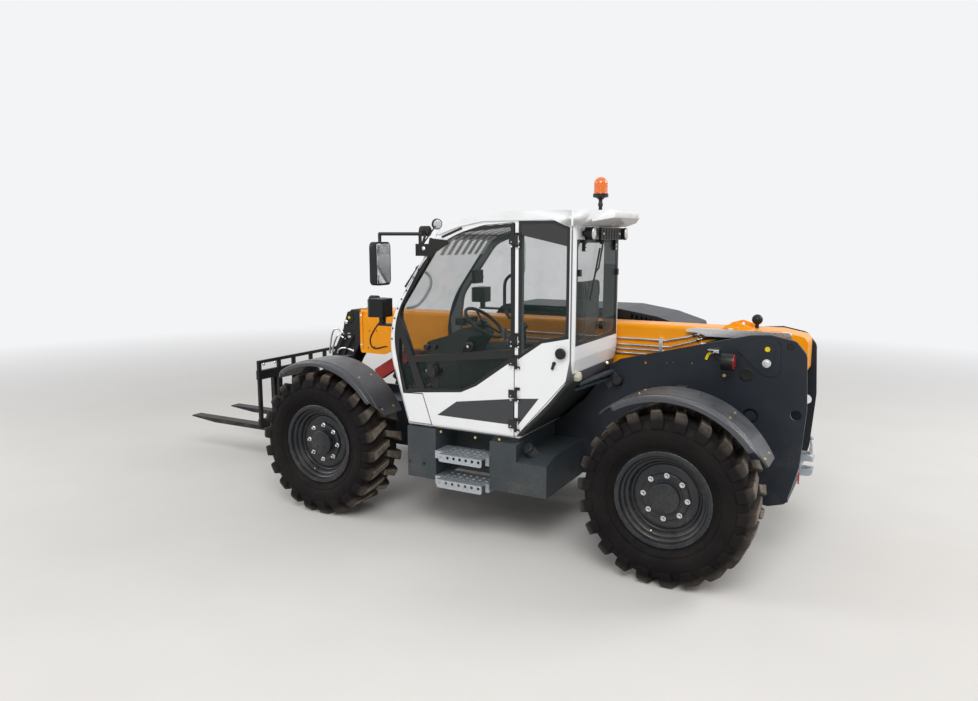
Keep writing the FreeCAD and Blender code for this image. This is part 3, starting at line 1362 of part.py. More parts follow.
def build_engine_side():
    outer = prism_xz(HOOD_SIDE, HOOD_OUTER, HOOD_INNER)
    inner = inset_prism_xz(HOOD_SIDE, HOOD_WALL, HOOD_OUTER + HOOD_WALL, HOOD_INNER + 1)
    below = box(820, HOOD_FRONT - HOOD_WALL, HOOD_OUTER + HOOD_WALL, HOOD_INNER + 1, 850, 900)
    flange = prism_xz([(HOOD_REAR + 20, 1540), (HOOD_REAR + 30, 1600), (500, 1675), (840, HOOD_TOP - 8),
                       (880, HOOD_TOP - 8), (880, 1640), (500, 1600)],
                      HOOD_INNER - HOOD_WALL, HOOD_INNER)
    hood = outer.cut([inner, below]).fuse(flange)
    hood = hood.cut(inlet_slots())
    bar = []
    for x in HOOD_HINGES:
        strap = box(x, x + HOOD_HINGE_LENGTH, HOOD_INNER - 30, HOOD_AXIS_Y, HOOD_TOP - 8, HOOD_TOP)
        hang = box(x, x + HOOD_HINGE_LENGTH, HOOD_AXIS_Y - 8, HOOD_AXIS_Y + 8, HOOD_AXIS_Z, HOOD_TOP)
        barrel = rod((x, HOOD_AXIS_Y, HOOD_AXIS_Z), (x + HOOD_HINGE_LENGTH, HOOD_AXIS_Y, HOOD_AXIS_Z), 16)
        bar += [strap, hang, barrel]
    axis = rod((HOOD_REAR, HOOD_AXIS_Y, HOOD_AXIS_Z), (HOOD_FRONT, HOOD_AXIS_Y, HOOD_AXIS_Z),
               HOOD_HINGE_RADIUS + RUNNING)
    save("engine_hood", fuse(hood, *bar).cut(axis))
    tank = prism_xz([(860, BOX_BOTTOM), (2050, BOX_BOTTOM), (2050, 820), (860, 820)],
                    HOOD_OUTER + 20, -FRAME_OUTER_Y - SEAT, 30)
    tray = box(800, HOOD_FRONT, HOOD_OUTER, -FRAME_OUTER_Y - SEAT, 810, HOOD_BASE - SEAT)
    save("fuel_tank", fuse(tank, tray))
    save("engine_firewall", firewall())
    save("engine_block", box(960, 1860, -930, -430, HOOD_BASE - SEAT, 1440))


def firewall():
    """Fixed plate between engine and boom; it carries the hood's hinge pins."""
    y0 = HOOD_AXIS_Y - 8
    y1 = HOOD_AXIS_Y + 8
    top = HOOD_AXIS_Z - 20
    wall = prism_xz([(2100, HOOD_BASE - SEAT), (2100, 1560), (1960, top), (860, top), (520, 1620),
                     (430, 1500), (620, 1410), (830, 1220), (830, HOOD_BASE - SEAT)], y0, y1)
    knuckles = []
    for x in HOOD_HINGES:
        for start in (x - 45, x + HOOD_HINGE_LENGTH + 5):
            end = start + 40
            knuckles.append(box(start, end, y0, y1, top - 5, HOOD_AXIS_Z))
            knuckles.append(rod((start, HOOD_AXIS_Y, HOOD_AXIS_Z), (end, HOOD_AXIS_Y, HOOD_AXIS_Z), 16))
        knuckles.append(rod((x - 45, HOOD_AXIS_Y, HOOD_AXIS_Z),
                            (x + HOOD_HINGE_LENGTH + 45, HOOD_AXIS_Y, HOOD_AXIS_Z), HOOD_HINGE_RADIUS))
    return fuse(wall, *knuckles)


def inlet_slots():
    """Air slots in the hood's outer side and, seen past the boom, in its inner flange."""
    slots = []
    for index in range(SLOT_COUNT):
        x = 300 + index * SLOT_PITCH
        slots.append(box(x, x + SLOT_WIDTH, HOOD_OUTER - 1, HOOD_OUTER + HOOD_WALL + 1, 1455, 1560))
        x = 380 + index * SLOT_PITCH
        top = 1630 + (x - 380) * 0.19
        slots.append(box(x, x + SLOT_WIDTH, HOOD_INNER - HOOD_WALL - 1, HOOD_INNER + 1, top - 45, top))
    return slots


# Lamps, mirrors, beacon


def build_lamps():
    lamps = []
    for y in (200.0, 900.0):
        lamps.append(fuse(
            rod((CAB_REAR - 22, y, REAR_LAMP_Z), (604, y, REAR_LAMP_Z), 45),
            rod((CAB_REAR - SEAT, y, REAR_LAMP_Z), (CAB_REAR - 30, y, REAR_LAMP_Z), 20)))
    for side in (1, -1):
        lamps.append(head_lamp(side))
        lamps.append(tower_lamp(side))
    save("work_lamps", group(*lamps))
    front_lamp = fuse(
        box(3150, 3190, BOOM_Y + 70, BOOM_Y + 110, OUTER_TOP + SEAT, OUTER_TOP + 25),
        rod((3140, BOOM_Y + 90, OUTER_TOP + 75), (3215, BOOM_Y + 90, OUTER_TOP + 75), 55))
    rear_lamp = fuse(
        rod((-358, BOOM_Y, OUTER_TOP + SEAT), (-358, BOOM_Y, OUTER_TOP + 50), 14),
        Part.makeSphere(40, Vector(-358, BOOM_Y, OUTER_TOP + 65)))
    save("boom_lamp", group(front_lamp, rear_lamp))
    save("plate_holder", fuse(
        box(622, 640, 270, 700, REAR_LAMP_Z - 45, REAR_LAMP_Z + 45),
        box(630, CAB_REAR - SEAT, 440, 530, REAR_LAMP_Z - 20, REAR_LAMP_Z + 20)))
    save("beacon", fuse(
        Part.makeCylinder(14, 110, Vector(670, 600, ROOF_TOP + SEAT), Z_AXIS),
        Part.makeCylinder(56, 30, Vector(670, 600, ROOF_TOP + 100), Z_AXIS),
        Part.makeCylinder(50, 70, Vector(670, 600, ROOF_TOP + 130), Z_AXIS),
        Part.makeSphere(50, Vector(670, 600, ROOF_TOP + 200))))
    save("mirrors", group(mirror(1), mirror(-1)))


def head_lamp(side):
    """Lamp body on a bracket; the left one stands on the cab, the right one on the hood's tray."""
    y = side * 860.0
    body = prism_xy([
        (2400, y - 70, 20), (2400, y + 70, 20), (2530, y + 100, 10), (2530, y - 100, 10),
    ], 1700, 1850)
    post = box(2440, 2480, y - 20, y + 20, 1640, 1705)
    if side > 0:
        shelf = box(2210, 2480, y - 40, y + 40, 1628, 1645).cut(cab_solid(-SEAT))
        return fuse(body, post, shelf)
    shelf = box(HOOD_FRONT + PANEL_GAP, 2480, y - 40, y + 40, 1628, 1645)
    leg = box(HOOD_FRONT + PANEL_GAP, HOOD_FRONT + PANEL_GAP + 30, y - 40, y + 40, 815, 1645)
    foot = box(HOOD_FRONT + SEAT, HOOD_FRONT + PANEL_GAP + 30, y - 40, y + 40, 815, HOOD_BASE - 5)
    return fuse(body, post, shelf, leg, foot)


def tower_lamp(side):
    """Round marker lamp that faces rearward, on an arm from the tower plate."""
    y = side * TOWER_LAMP_Y
    foot = side * (FRAME_OUTER_Y + SEAT)
    span = sorted((foot, side * (FRAME_OUTER_Y + 8)))
    return fuse(
        rod((TOWER_LAMP_X + 42, y, TOWER_LAMP_Z), (TOWER_LAMP_X - 42, y, TOWER_LAMP_Z), TOWER_LAMP_RADIUS),
        rod((TOWER_LAMP_X + 20, foot, TOWER_LAMP_Z), (TOWER_LAMP_X + 20, y, TOWER_LAMP_Z), 10),
        box(TOWER_LAMP_X - 10, TOWER_LAMP_X + 50, span[0], span[1], TOWER_LAMP_Z - 30, TOWER_LAMP_Z + 30))


def corner_fittings():
    """Cover at the cab's upper front corner, the block that holds the mirror tube, a lamp, a round mirror."""
    cover = prism_xz([
        (1886, CAB_TOP - 290), (1876, CAB_TOP - 190), (1857, CAB_TOP - 118), (1829, CAB_TOP - 125),
        (1716, CAB_TOP - 136), (1688, CAB_TOP - 158), (1820, CAB_TOP - 235),
    ], CAB_LEFT + SEAT, CAB_LEFT + 12, 6)
    block = box(1840, 1987, CAB_LEFT - 50, CAB_LEFT + 12, CAB_TOP - 257, CAB_TOP - 165)
    lamp_x, lamp_y, lamp_z = FRONT_LAMP
    lamp = rod((lamp_x - 35, lamp_y, lamp_z), (lamp_x + 35, lamp_y, lamp_z), 40)
    lamp_arm = rod((lamp_x - 10, lamp_y, lamp_z), (1950, CAB_LEFT - 20, CAB_TOP - 190), 10)
    face = Vector(-0.8, 0.5, -0.2).normalize() * 10
    centre = Vector(*SMALL_MIRROR)
    disc = Part.makeCylinder(SMALL_MIRROR_RADIUS, 20, centre - face, face)
    stalk = rod(SMALL_MIRROR, (1950, CAB_LEFT - 20, CAB_TOP - 180), 6)
    outer = cab_solid(-SEAT)
    return fuse(cover, block.cut(outer), lamp, lamp_arm.cut(outer), disc, stalk.cut(outer))


def mirror(side):
    span = sorted((side * (MIRROR_Y - MIRROR_WIDTH / 2), side * (MIRROR_Y + MIRROR_WIDTH / 2)))
    head = prism_yz([
        (span[0], MIRROR_Z - MIRROR_HEIGHT / 2), (span[1], MIRROR_Z - MIRROR_HEIGHT / 2),
        (span[1], MIRROR_Z + MIRROR_HEIGHT / 2), (span[0], MIRROR_Z + MIRROR_HEIGHT / 2),
    ], MIRROR_X, MIRROR_X + 60, 40)
    y = side * MIRROR_Y
    top = MIRROR_Z + MIRROR_HEIGHT / 2 + 60
    post = rod((MIRROR_X + 30, y, MIRROR_Z), (MIRROR_X + 30, y, top), MIRROR_TUBE)
    if side > 0:
        run = rod((MIRROR_X + 30, y, top), (MIRROR_FOOT_X, MIRROR_FOOT_Y, top), MIRROR_TUBE)
        drop = rod((MIRROR_FOOT_X, MIRROR_FOOT_Y, top), (MIRROR_FOOT_X, MIRROR_FOOT_Y, CAB_TOP - 200),
                   MIRROR_TUBE)
        ball = Part.makeSphere(MIRROR_TUBE, Vector(MIRROR_FOOT_X, MIRROR_FOOT_Y, top))
        cap = Part.makeSphere(MIRROR_TUBE, Vector(MIRROR_X + 30, y, top))
        return fuse(head, post, run, drop, ball, cap, corner_fittings())
    foot_x = HOOD_FRONT + PANEL_GAP + 15
    foot_y = -940.0
    run = rod((MIRROR_X + 30, y, top), (foot_x, foot_y, top), MIRROR_TUBE)
    drop = rod((foot_x, foot_y, top), (foot_x, foot_y, 820), MIRROR_TUBE)
    ball = Part.makeSphere(MIRROR_TUBE, Vector(foot_x, foot_y, top))
    cap = Part.makeSphere(MIRROR_TUBE, Vector(MIRROR_X + 30, y, top))
    foot = box(HOOD_FRONT + SEAT, foot_x + 20, foot_y - 20, foot_y + 20, 815, HOOD_BASE - 5)
    return fuse(head, post, run, drop, ball, cap, foot)


def main():
    os.makedirs("parts", exist_ok=True)
    build_frame()
    build_wheels()
    build_boom()
    build_cylinders()
    build_carriage()
    build_cab()
    build_left_side()
    build_engine_side()
    build_lamps()


main()
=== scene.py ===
import math

import bmesh
import bpy
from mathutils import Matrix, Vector


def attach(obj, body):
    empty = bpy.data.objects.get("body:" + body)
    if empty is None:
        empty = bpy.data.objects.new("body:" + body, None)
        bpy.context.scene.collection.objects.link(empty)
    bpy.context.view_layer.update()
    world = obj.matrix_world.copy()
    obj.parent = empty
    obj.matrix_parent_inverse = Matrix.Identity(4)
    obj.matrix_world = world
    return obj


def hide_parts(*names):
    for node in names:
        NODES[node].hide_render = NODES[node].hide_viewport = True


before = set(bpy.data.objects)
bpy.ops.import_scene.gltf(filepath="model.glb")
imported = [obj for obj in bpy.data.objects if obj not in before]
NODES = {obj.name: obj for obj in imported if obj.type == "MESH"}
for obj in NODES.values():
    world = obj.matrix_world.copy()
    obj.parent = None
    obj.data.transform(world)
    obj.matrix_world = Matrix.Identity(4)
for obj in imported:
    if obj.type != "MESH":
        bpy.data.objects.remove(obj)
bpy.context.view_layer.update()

# Metres. X forward, Y to the vehicle's left, Z up; the rear axle lies at REAR_X.
REAR_X = -2.355
FRONT_X = 0.615
AXLE_Z = 0.610
TRACK_HALF = 0.935

# Millimetres from the rear axle, the vehicle's middle and the ground, as at() takes them.
CAB_FACE = 1050
WINDOW_FACE = 676
TOWER_FACE = 331
STRAP_FACE = 334
BOOM_MIDDLE = -80
HOOD_FACE = 1059.5
REAR_LAMPS = (200, 900)
REAR_LAMP_Z = 2375
HEAD_LAMP_Y = 860
MIRROR_Y = 1200

CAB_LEFT = CAB_FACE / 1000
BOTH_SIDES = ((1, "left"), (-1, "right"))
LEFT = Vector((0, 1, 0))
BACK = Vector((-1, 0, 0))
AHEAD = Vector((1, 0, 0))
UP = Vector((0, 0, 1))

WHEELS = (
    # name, axle position, side
    ("front_left", FRONT_X, 1),
    ("front_right", FRONT_X, -1),
    ("rear_left", REAR_X, 1),
    ("rear_right", REAR_X, -1),
)

WHITE = (0.80, 0.81, 0.82)
BLACK = (0.012, 0.012, 0.013)
STRIPE = (0.040, 0.042, 0.047)
ORANGE = (1.00, 0.365, 0.005)
DUST = (0.36, 0.29, 0.22)


def at(x, y, z):
    """Place counted from the rear axle, in millimetres, as a place in the scene."""
    return Vector((x / 1000 + REAR_X, y / 1000, z / 1000))


def route(points):
    return [at(*point) for point in points]


def side(*points):
    """Side-view points counted from the rear axle, in millimetres, as scene x and z."""
    return [(x / 1000 + REAR_X, z / 1000) for x, z in points]


def colour(value):
    if isinstance(value, tuple) and len(value) == 3:
        return (*value, 1.0)
    return value


# Node materials


class Tree:
    """A node tree and a short way to add nodes to it."""

    def __init__(self, tree):
        self.tree = tree

    def node(self, kind, *values, **settings):
        made = self.tree.nodes.new(kind)
        for key, value in settings.items():
            setattr(made, key, value)
        for socket, value in zip(made.inputs, values):
            self.feed(socket, value)
        return made

    def named(self, kind, **values):
        made = self.tree.nodes.new(kind)
        for key, value in values.items():
            self.feed(made.inputs[key], value)
        return made

    def feed(self, socket, value):
        if value is None:
            return
        if isinstance(value, bpy.types.NodeSocket):
            self.tree.links.new(value, socket)
        else:
            socket.default_value = value

    def math(self, operation, *values):
        return self.node("ShaderNodeMath", *values, operation=operation).outputs[0]

    def fold(self, operation, values):
        made = values[0]
        for value in values[1:]:
            made = self.math(operation, made, value)
        return made

    def least(self, *values):
        return self.fold("MINIMUM", values)

    def most(self, *values):
        return self.fold("MAXIMUM", values)

    def times(self, *values):
        return self.fold("MULTIPLY", values)

    def plus(self, *values):
        return self.fold("ADD", values)

    def above(self, value, limit):
        return self.math("GREATER_THAN", value, limit)

    def below(self, value, limit):
        return self.math("LESS_THAN", value, limit)

    def range(self, value, low, high, start=0.0, end=1.0):
        return self.node("ShaderNodeMapRange", value, low, high, start, end, clamp=True).outputs[0]


EDGE_SOFT = 0.0008


class Shader(Tree):
    """One material round a principled surface."""

    def __init__(self, name):
        self.material = bpy.data.materials.new(name)
        self.material.use_nodes = True
        super().__init__(self.material.node_tree)
        self.tree.nodes.clear()
        self.surface = self.node("ShaderNodeBsdfPrincipled")
        self.output = self.node("ShaderNodeOutputMaterial", self.surface.outputs[0])
        self.place = self.node("ShaderNodeTexCoord").outputs["Object"]
        self.x, self.y, self.z = self.node("ShaderNodeSeparateXYZ", self.place).outputs

    def noise(self, scale, detail=3.0, roughness=0.55, place=None):
        return self.named("ShaderNodeTexNoise", Vector=place or self.place, Scale=scale, Detail=detail,
                          Roughness=roughness).outputs[0]

    def spread(self, start, end, scale, detail=3.0, roughness=0.55):
        """Values between start and end in soft patches."""
        return self.range(self.noise(scale, detail, roughness), 0.3, 0.7, start, end)

    def cells(self, scale):
        return self.named("ShaderNodeTexVoronoi", Vector=self.place, Scale=scale).outputs["Distance"]

    def stretch(self, x, y, z):
        """Object place scaled along each axis, for grain that runs one way."""
        return self.node("ShaderNodeVectorMath", self.place, (x, y, z), operation="MULTIPLY").outputs[0]

    def mix(self, factor, first, second):
        made = self.node("ShaderNodeMix", data_type="RGBA")
        for socket, value in ((0, factor), (6, first), (7, second)):
            self.feed(made.inputs[socket], colour(value))
        return made.outputs[2]

    def shade(self, base, value):
        return self.named("ShaderNodeHueSaturation", Value=value, Color=colour(base)).outputs[0]

    def beyond(self, point, other, grow=0.0, across=None):
        """1 on the left of the line from point to other in the side view, moved right by grow, else 0."""
        along_x = other[0] - point[0]
        along_z = other[1] - point[1]
        length = math.hypot(along_x, along_z)
        flat = self.math("MULTIPLY_ADD", across or self.x, -along_z / length, point[0] * along_z / length)
        high = self.math("MULTIPLY_ADD", self.z, along_x / length, grow - point[1] * along_x / length)
        return self.range(self.plus(flat, high), -EDGE_SOFT, EDGE_SOFT)

    def within(self, points, grow=0.0, across=None):
        """1 inside a convex outline, corners in order against the clock."""
        ends = (*points[1:], points[0])
        return self.least(*[self.beyond(point, end, grow, across) for point, end in zip(points, ends)])

    def bump(self, height, strength, distance=0.001):
        made = self.named("ShaderNodeBump", Strength=strength, Distance=distance, Height=height)
        self.feed(self.surface.inputs["Normal"], made.outputs[0])

    def orange_peel(self, strength=0.05, scale=420.0):
        self.bump(self.noise(scale, 2.0), strength, 0.0005)

    def finish(self, base, roughness, metallic=0.0, coat=None, shine=None):
        self.feed(self.surface.inputs["Base Color"], colour(base))
        self.feed(self.surface.inputs["Roughness"], roughness)
        self.feed(self.surface.inputs["Metallic"], metallic)
        self.feed(self.surface.inputs["Specular IOR Level"], shine)
        if coat:
            self.feed(self.surface.inputs["Coat Weight"], coat[0])
            self.feed(self.surface.inputs["Coat Roughness"], coat[1])
        return self.material


def dusty(shader, base, amount=1.0, top=1.3):
    """Base colour with pale dust that thickens towards the ground, and the dust's cover."""
    low = shader.range(shader.z, top, 0.25)
    patches = shader.range(shader.noise(5.0, 6.0, 0.62), 0.42, 0.72)
    fine = shader.range(shader.noise(60.0, 4.0, 0.7), 0.35, 0.75)
    cover = shader.plus(shader.times(patches, fine, low, amount), shader.times(patches, 0.04 * amount))
    return shader.mix(cover, base, DUST), cover


def paint(name, base, gloss=0.3, dust=0.5, coat=0.3, top=1.3, shine=0.4):
    shader = Shader(name)
    tone = shader.shade(base, shader.spread(0.88, 1.06, 2.2))
    worn, cover = dusty(shader, tone, dust, top)
    rough = shader.plus(shader.spread(gloss - 0.01, gloss + 0.04, 9.0, 5.0), cover)
    shader.orange_peel()
    return shader.finish(worn, rough, coat=(coat, 0.12), shine=shine)


# The door's black upper part ends below along this line.
DOOR_LINE = side((1100, 1495), (1462, 1240), (1598, 1178), (2200, 1118))
STRIPE_AREA = side((1128, 974), (1812, 977), (1637, 1102), (1128, 1176))
STRIPE_TAIL = side((1112, 974), (1112, 1178), (944, 1194))
# The rear side pane in two convex pieces, and the line above which it is printed black.
SIDE_PANE = (
    side((742, 1662), (933, 1621), (933, 2440), (835, 2440), (742, 2400)),
    side((933, 1621), (1089, 1513), (1089, 2440), (933, 2440)),
)
PRINT_LINE = side((748, 2289), (1064, 2358))
BACK_PANE = ((0.170, 1.610), (0.990, 1.610), (0.990, 2.310), (0.170, 2.310))
FRONT_PANE = ((0.145, 1.120), (1.005, 1.120), (1.005, 2.330), (0.145, 2.330))
CAB_INSIDE = side(
    (700, 890), (2080, 890), (2208, 1308), (2232, 1630), (2110, 1920), (1812, 2336), (1735, 2378),
    (1398, 2474), (700, 2474))
SEAL = 0.024
CAB_COAT = (0.2, 0.1)
CAB_SHINE = 0.35


def door_paint():
    """White below the black frame, with the grey stripe; hinges and knobs stay black."""
    shader = Shader("door_paint")
    white, cover = dusty(shader, WHITE, 0.30, 1.5)
    frame_part = shader.least(*(shader.beyond(a, b) for a, b in zip(DOOR_LINE, DOOR_LINE[1:])))
    skin = shader.times(shader.above(shader.y, CAB_LEFT - 0.030), shader.below(shader.y, CAB_LEFT + 0.0012))
    panel = shader.times(shader.math("SUBTRACT", 1.0, frame_part), skin)
    base = shader.mix(panel, BLACK, white)
    base = shader.mix(shader.times(shader.within(STRIPE_AREA), panel), base, STRIPE)
    rough = shader.plus(shader.math("MULTIPLY_ADD", panel, -0.10, 0.34), cover)
    shader.orange_peel(0.04)
    return shader.finish(base, rough, coat=CAB_COAT, shine=CAB_SHINE)


def shell_paint():
    """White outside, black seals round the panes, black hinges, grey trim inside."""
    shader = Shader("shell_paint")
    white, cover = dusty(shader, WHITE, 0.30, 1.5)
    left = shader.above(shader.y, CAB_LEFT - 0.012)
    base = shader.mix(shader.times(shader.within(STRIPE_TAIL), left), white, STRIPE)
    side_seal = shader.times(shader.most(*(shader.within(area, SEAL) for area in SIDE_PANE)), left)
    back = shader.below(shader.x, REAR_X + 0.730)
    back_seal = shader.times(shader.within(BACK_PANE, SEAL, shader.y), back)
    ahead = shader.above(shader.x, REAR_X + 1.900)
    front_seal = shader.times(shader.within(FRONT_PANE, SEAL, shader.y), ahead)
    proud = shader.above(shader.y, CAB_LEFT + 0.0012)
    black = shader.most(side_seal, back_seal, front_seal, proud)
    base = shader.mix(black, base, BLACK)
    between = shader.times(shader.above(shader.y, 0.102), shader.below(shader.y, CAB_LEFT - 0.002))
    trim = shader.times(shader.within(CAB_INSIDE), between)
    lining = shader.mix(shader.range(shader.z, 1.30, 1.45), (0.030, 0.031, 0.033), (0.13, 0.135, 0.14))
    lining = shader.mix(shader.above(shader.z, 2.40), lining, (0.30, 0.31, 0.32))
    base = shader.mix(trim, base, lining)
    rough = shader.plus(shader.math("MULTIPLY_ADD", shader.most(trim, black), 0.30, 0.24), cover)
    shader.orange_peel(0.04)
    return shader.finish(base, rough, coat=CAB_COAT, shine=CAB_SHINE)


def wheel_distance(shader):
    """Distance from the nearer axle's line."""
    at_front = shader.above(shader.x, (REAR_X + FRONT_X) / 2)
    centre = shader.math("MULTIPLY_ADD", at_front, FRONT_X - REAR_X, REAR_X)
    ahead = shader.math("SUBTRACT", shader.x, centre)
    high = shader.math("SUBTRACT", shader.z, AXLE_Z)
    return shader.math("SQRT", shader.plus(shader.times(ahead, ahead), shader.times(high, high)))


def rubber():
    """Dark walls, pale dust rubbed into the tread faces and a little on the shoulders."""
    shader = Shader("tyre_rubber_worn")
    distance = wheel_distance(shader)
    shoulder = shader.range(distance, 0.545, 0.600, 0.0, 0.26)
    crown = shader.range(distance, 0.6005, 0.6075, 0.0, 0.50)
    patches = shader.range(shader.noise(11.0, 5.0, 0.65), 0.32, 0.62, 0.35, 1.0)
    fine = shader.spread(0.6, 1.0, 95.0, 3.0, 0.7)
    cover = shader.times(shader.plus(shoulder, crown), shader.times(patches, fine))
    cover = shader.most(cover, shader.range(shader.noise(3.0, 4.0), 0.35, 0.75, 0.002, 0.028))
    base = shader.mix(cover, (0.0048, 0.0040, 0.0045), (0.36, 0.30, 0.245))
    rough = shader.spread(0.55, 0.78, 30.0, 4.0)
    shader.bump(shader.noise(160.0, 4.0, 0.7), 0.22)
    return shader.finish(base, rough, shine=0.12)


def rim_paint():
    """Near black, with painted shade in the disc's groove and worn flanges."""
    shader = Shader("rim_enamel")
    base, cover = dusty(shader, (0.012, 0.0145, 0.019), 0.30, 1.25)
    distance = wheel_distance(shader)
    # Painted shade: the disc's recessed groove is coloured darker, where shade falls in it.
    groove = shader.times(shader.above(distance, 0.2285), shader.below(distance, 0.2450))
    base = shader.mix(shader.times(groove, 0.8), base, (0.006, 0.006, 0.006))
    edge = shader.times(shader.range(distance, 0.322, 0.333), shader.range(shader.noise(40.0), 0.45, 0.6))
    base = shader.mix(shader.times(edge, 0.25), base, (0.16, 0.15, 0.14))
    rough = shader.plus(shader.spread(0.26, 0.40, 14.0), cover)
    shader.orange_peel(0.05, 300.0)
    return shader.finish(base, rough, coat=(0.12, 0.25), shine=0.35)


def plastic(name, base, roughness=0.5, dust=0.6, grain=260.0, top=1.3, shine=0.3, depth=0.15):
    shader = Shader(name)
    worn, cover = dusty(shader, base, dust, top)
    rough = shader.plus(shader.spread(roughness - 0.06, roughness + 0.08, 12.0), cover)
    shader.bump(shader.noise(grain, 3.0, 0.7), depth, 0.0006)
    return shader.finish(worn, rough, shine=shine)


def steel(name, base, roughness=0.3):
    shader = Shader(name)
    grain = shader.noise(10.0, 4.0, 0.6, shader.stretch(4.0, 60.0, 60.0))
    shade = shader.mix(shader.range(grain, 0.3, 0.7), tuple(v * 0.8 for v in base), base)
    rough = shader.range(grain, 0.3, 0.7, roughness - 0.08, roughness + 0.1)
    shader.bump(grain, 0.08, 0.0005)
    return shader.finish(shade, rough, 1.0)


def galvanised():
    shader = Shader("galvanised_sheet")
    flake = shader.range(shader.cells(90.0), 0.0, 0.7)
    base = shader.mix(flake, (0.33, 0.36, 0.39), (0.50, 0.54, 0.58))
    worn, cover = dusty(shader, base, 0.4, 1.0)
    rough = shader.plus(shader.math("MULTIPLY_ADD", flake, 0.18, 0.32), cover)
    return shader.finish(worn, rough, 0.7)


def glass():
    """Green tinted panes; the rear side pane has a black printed band along its top."""
    shader = Shader("green_tinted_glass")
    weight = shader.node("ShaderNodeLayerWeight", 0.25).outputs["Facing"]
    smear = shader.range(shader.noise(6.0, 4.0), 0.45, 0.8, 0.0, 0.05)
    clear = shader.plus(shader.range(weight, 0.2, 1.0, 0.13, 0.50), smear)
    left = shader.above(shader.y, CAB_LEFT - 0.030)
    band = shader.least(shader.beyond(*PRINT_LINE), left, shader.below(shader.x, REAR_X + 1.105))
    shader.feed(shader.surface.inputs["Alpha"], shader.most(clear, band))
    return shader.finish(shader.mix(band, (0.022, 0.052, 0.045), BLACK), 0.03, shine=0.7)


THREADS = 2600.0


def fabric():
    shader = Shader("seat_cloth")
    across = shader.math("SINE", shader.times(shader.y, THREADS))
    along = shader.math("SINE", shader.times(shader.plus(shader.x, shader.z), THREADS))
    tone = shader.spread(0.75, 1.15, 25.0, 4.0)
    shade = shader.mix(shader.times(tone, 0.6), (0.024, 0.025, 0.028), (0.045, 0.047, 0.053))
    shader.bump(shader.times(across, along), 0.35, 0.0006)
    shader.feed(shader.surface.inputs["Sheen Weight"], 0.2)
    return shader.finish(shade, 0.85)


def lens(name, base, glow=0.0):
    shader = Shader(name)
    cells = shader.cells(140.0)
    shader.bump(cells, 0.35)
    shade = shader.mix(shader.range(cells, 0.0, 0.6), base, tuple(v * 0.75 for v in base))
    if glow > 0:
        shader.feed(shader.surface.inputs["Emission Color"], colour(base))
        shader.feed(shader.surface.inputs["Emission Strength"], glow)
    return shader.finish(shade, 0.12, coat=(0.6, 0.03))


MATERIALS = {
    "white": paint("white_gloss", WHITE, 0.24, 0.3, 0.25, 1.5, 0.35),
    "orange": paint("orange_gloss", ORANGE, 0.28, 0.02, 0.05, 1.9, 0.25),
    "anthracite": paint("anthracite_satin", (0.017, 0.022, 0.030), 0.38, 0.25, 0.0, 1.2, 0.27),
    "box": paint("box_satin", (0.040, 0.051, 0.058), 0.40, 0.30, 0.0, 1.1, 0.30),
    "dark": paint("chassis_black", (0.012, 0.013, 0.014), 0.45, 0.45, 0.0, 1.1, 0.25),
    "grey": paint("machine_grey", (0.09, 0.095, 0.10), 0.45, 0.4, 0.0, 1.5, 0.3),
    "red": paint("prop_red", (0.40, 0.022, 0.018), 0.35, 0.35, 0.1, 1.6, 0.3),
    "yellow": paint("bright_yellow", (0.80, 0.60, 0.01), 0.35, 0.1, 0.1, 1.0, 0.3),
    "cream": paint("wear_strip", (0.56, 0.54, 0.42), 0.5, 0.2, 0.0, 1.2, 0.3),
    "door": door_paint(),
    "shell": shell_paint(),
    "rubber": rubber(),
    "rim": rim_paint(),
    "fender": plastic("fender_plastic", (0.046, 0.049, 0.057), 0.31, 0.22, 300.0, 1.30, 0.6),
    "plastic": plastic("black_moulding", (0.011, 0.011, 0.012), 0.42, 0.20),
    "inside": plastic("cab_moulding", (0.030, 0.028, 0.028), 0.6, 0.05, 350.0, 1.3, 0.3, 0.05),
    "hose": plastic("hose_rubber", (0.010, 0.010, 0.010), 0.55, 0.2, 700.0),
    "handle": plastic("pale_grip", (0.42, 0.44, 0.45), 0.45, 0.1, 500.0),
    "chrome": steel("polished_rod", (0.78, 0.79, 0.80), 0.14),
    "steel": steel("bare_steel", (0.86, 0.86, 0.87), 0.32),
    "brass": steel("yellow_zinc", (0.72, 0.56, 0.24), 0.34),
    "zinc": galvanised(),
    "glass": glass(),
    "mirror": steel("mirror_glass", (0.86, 0.88, 0.90), 0.10),
    "seat": fabric(),
    "lamp": lens("clear_lens", (0.74, 0.76, 0.78)),
    "red_lens": lens("red_lens", (0.45, 0.010, 0.012)),
    "amber": lens("amber_lens", (0.86, 0.17, 0.008), 0.10),
}

NODE_LOOKS = {
    "chassis_frame": "anthracite", "frame_pins": "anthracite", "rear_hitch": "zinc", "axles": "dark",
    "cab_shell": "shell", "cab_roof": "white", "cab_glass": "glass", "cab_dash": "inside",
    "steering_wheel": "plastic", "side_boxes": "box", "access_steps": "zinc",
    "fuel_tank": "box", "engine_firewall": "dark", "work_lamps": "plastic", "plate_holder": "plastic",
    "mirrors": "plastic", "boom_outer": "orange", "boom_pipes": "steel", "boom_lamp": "plastic",
    "boom_inner": "dark", "head_pins": "steel", "safety_prop": "red",
    "fork_carriage": "dark", "forks": "dark", "lift_cylinder_barrel": "anthracite",
    "lift_cylinder_rod": "chrome", "tilt_cylinder_barrel": "anthracite", "tilt_cylinder_rod": "chrome",
    "cab_door": "door", "door_glass": "glass", "engine_hood": "anthracite",
}


def dress(name, look):
    mesh = NODES[name].data
    mesh.materials.clear()
    mesh.materials.append(MATERIALS[look])


def modify(made, kind, **settings):
    added = made.modifiers.new(kind.title(), kind)
    for key, value in settings.items():
        setattr(added, key, value)


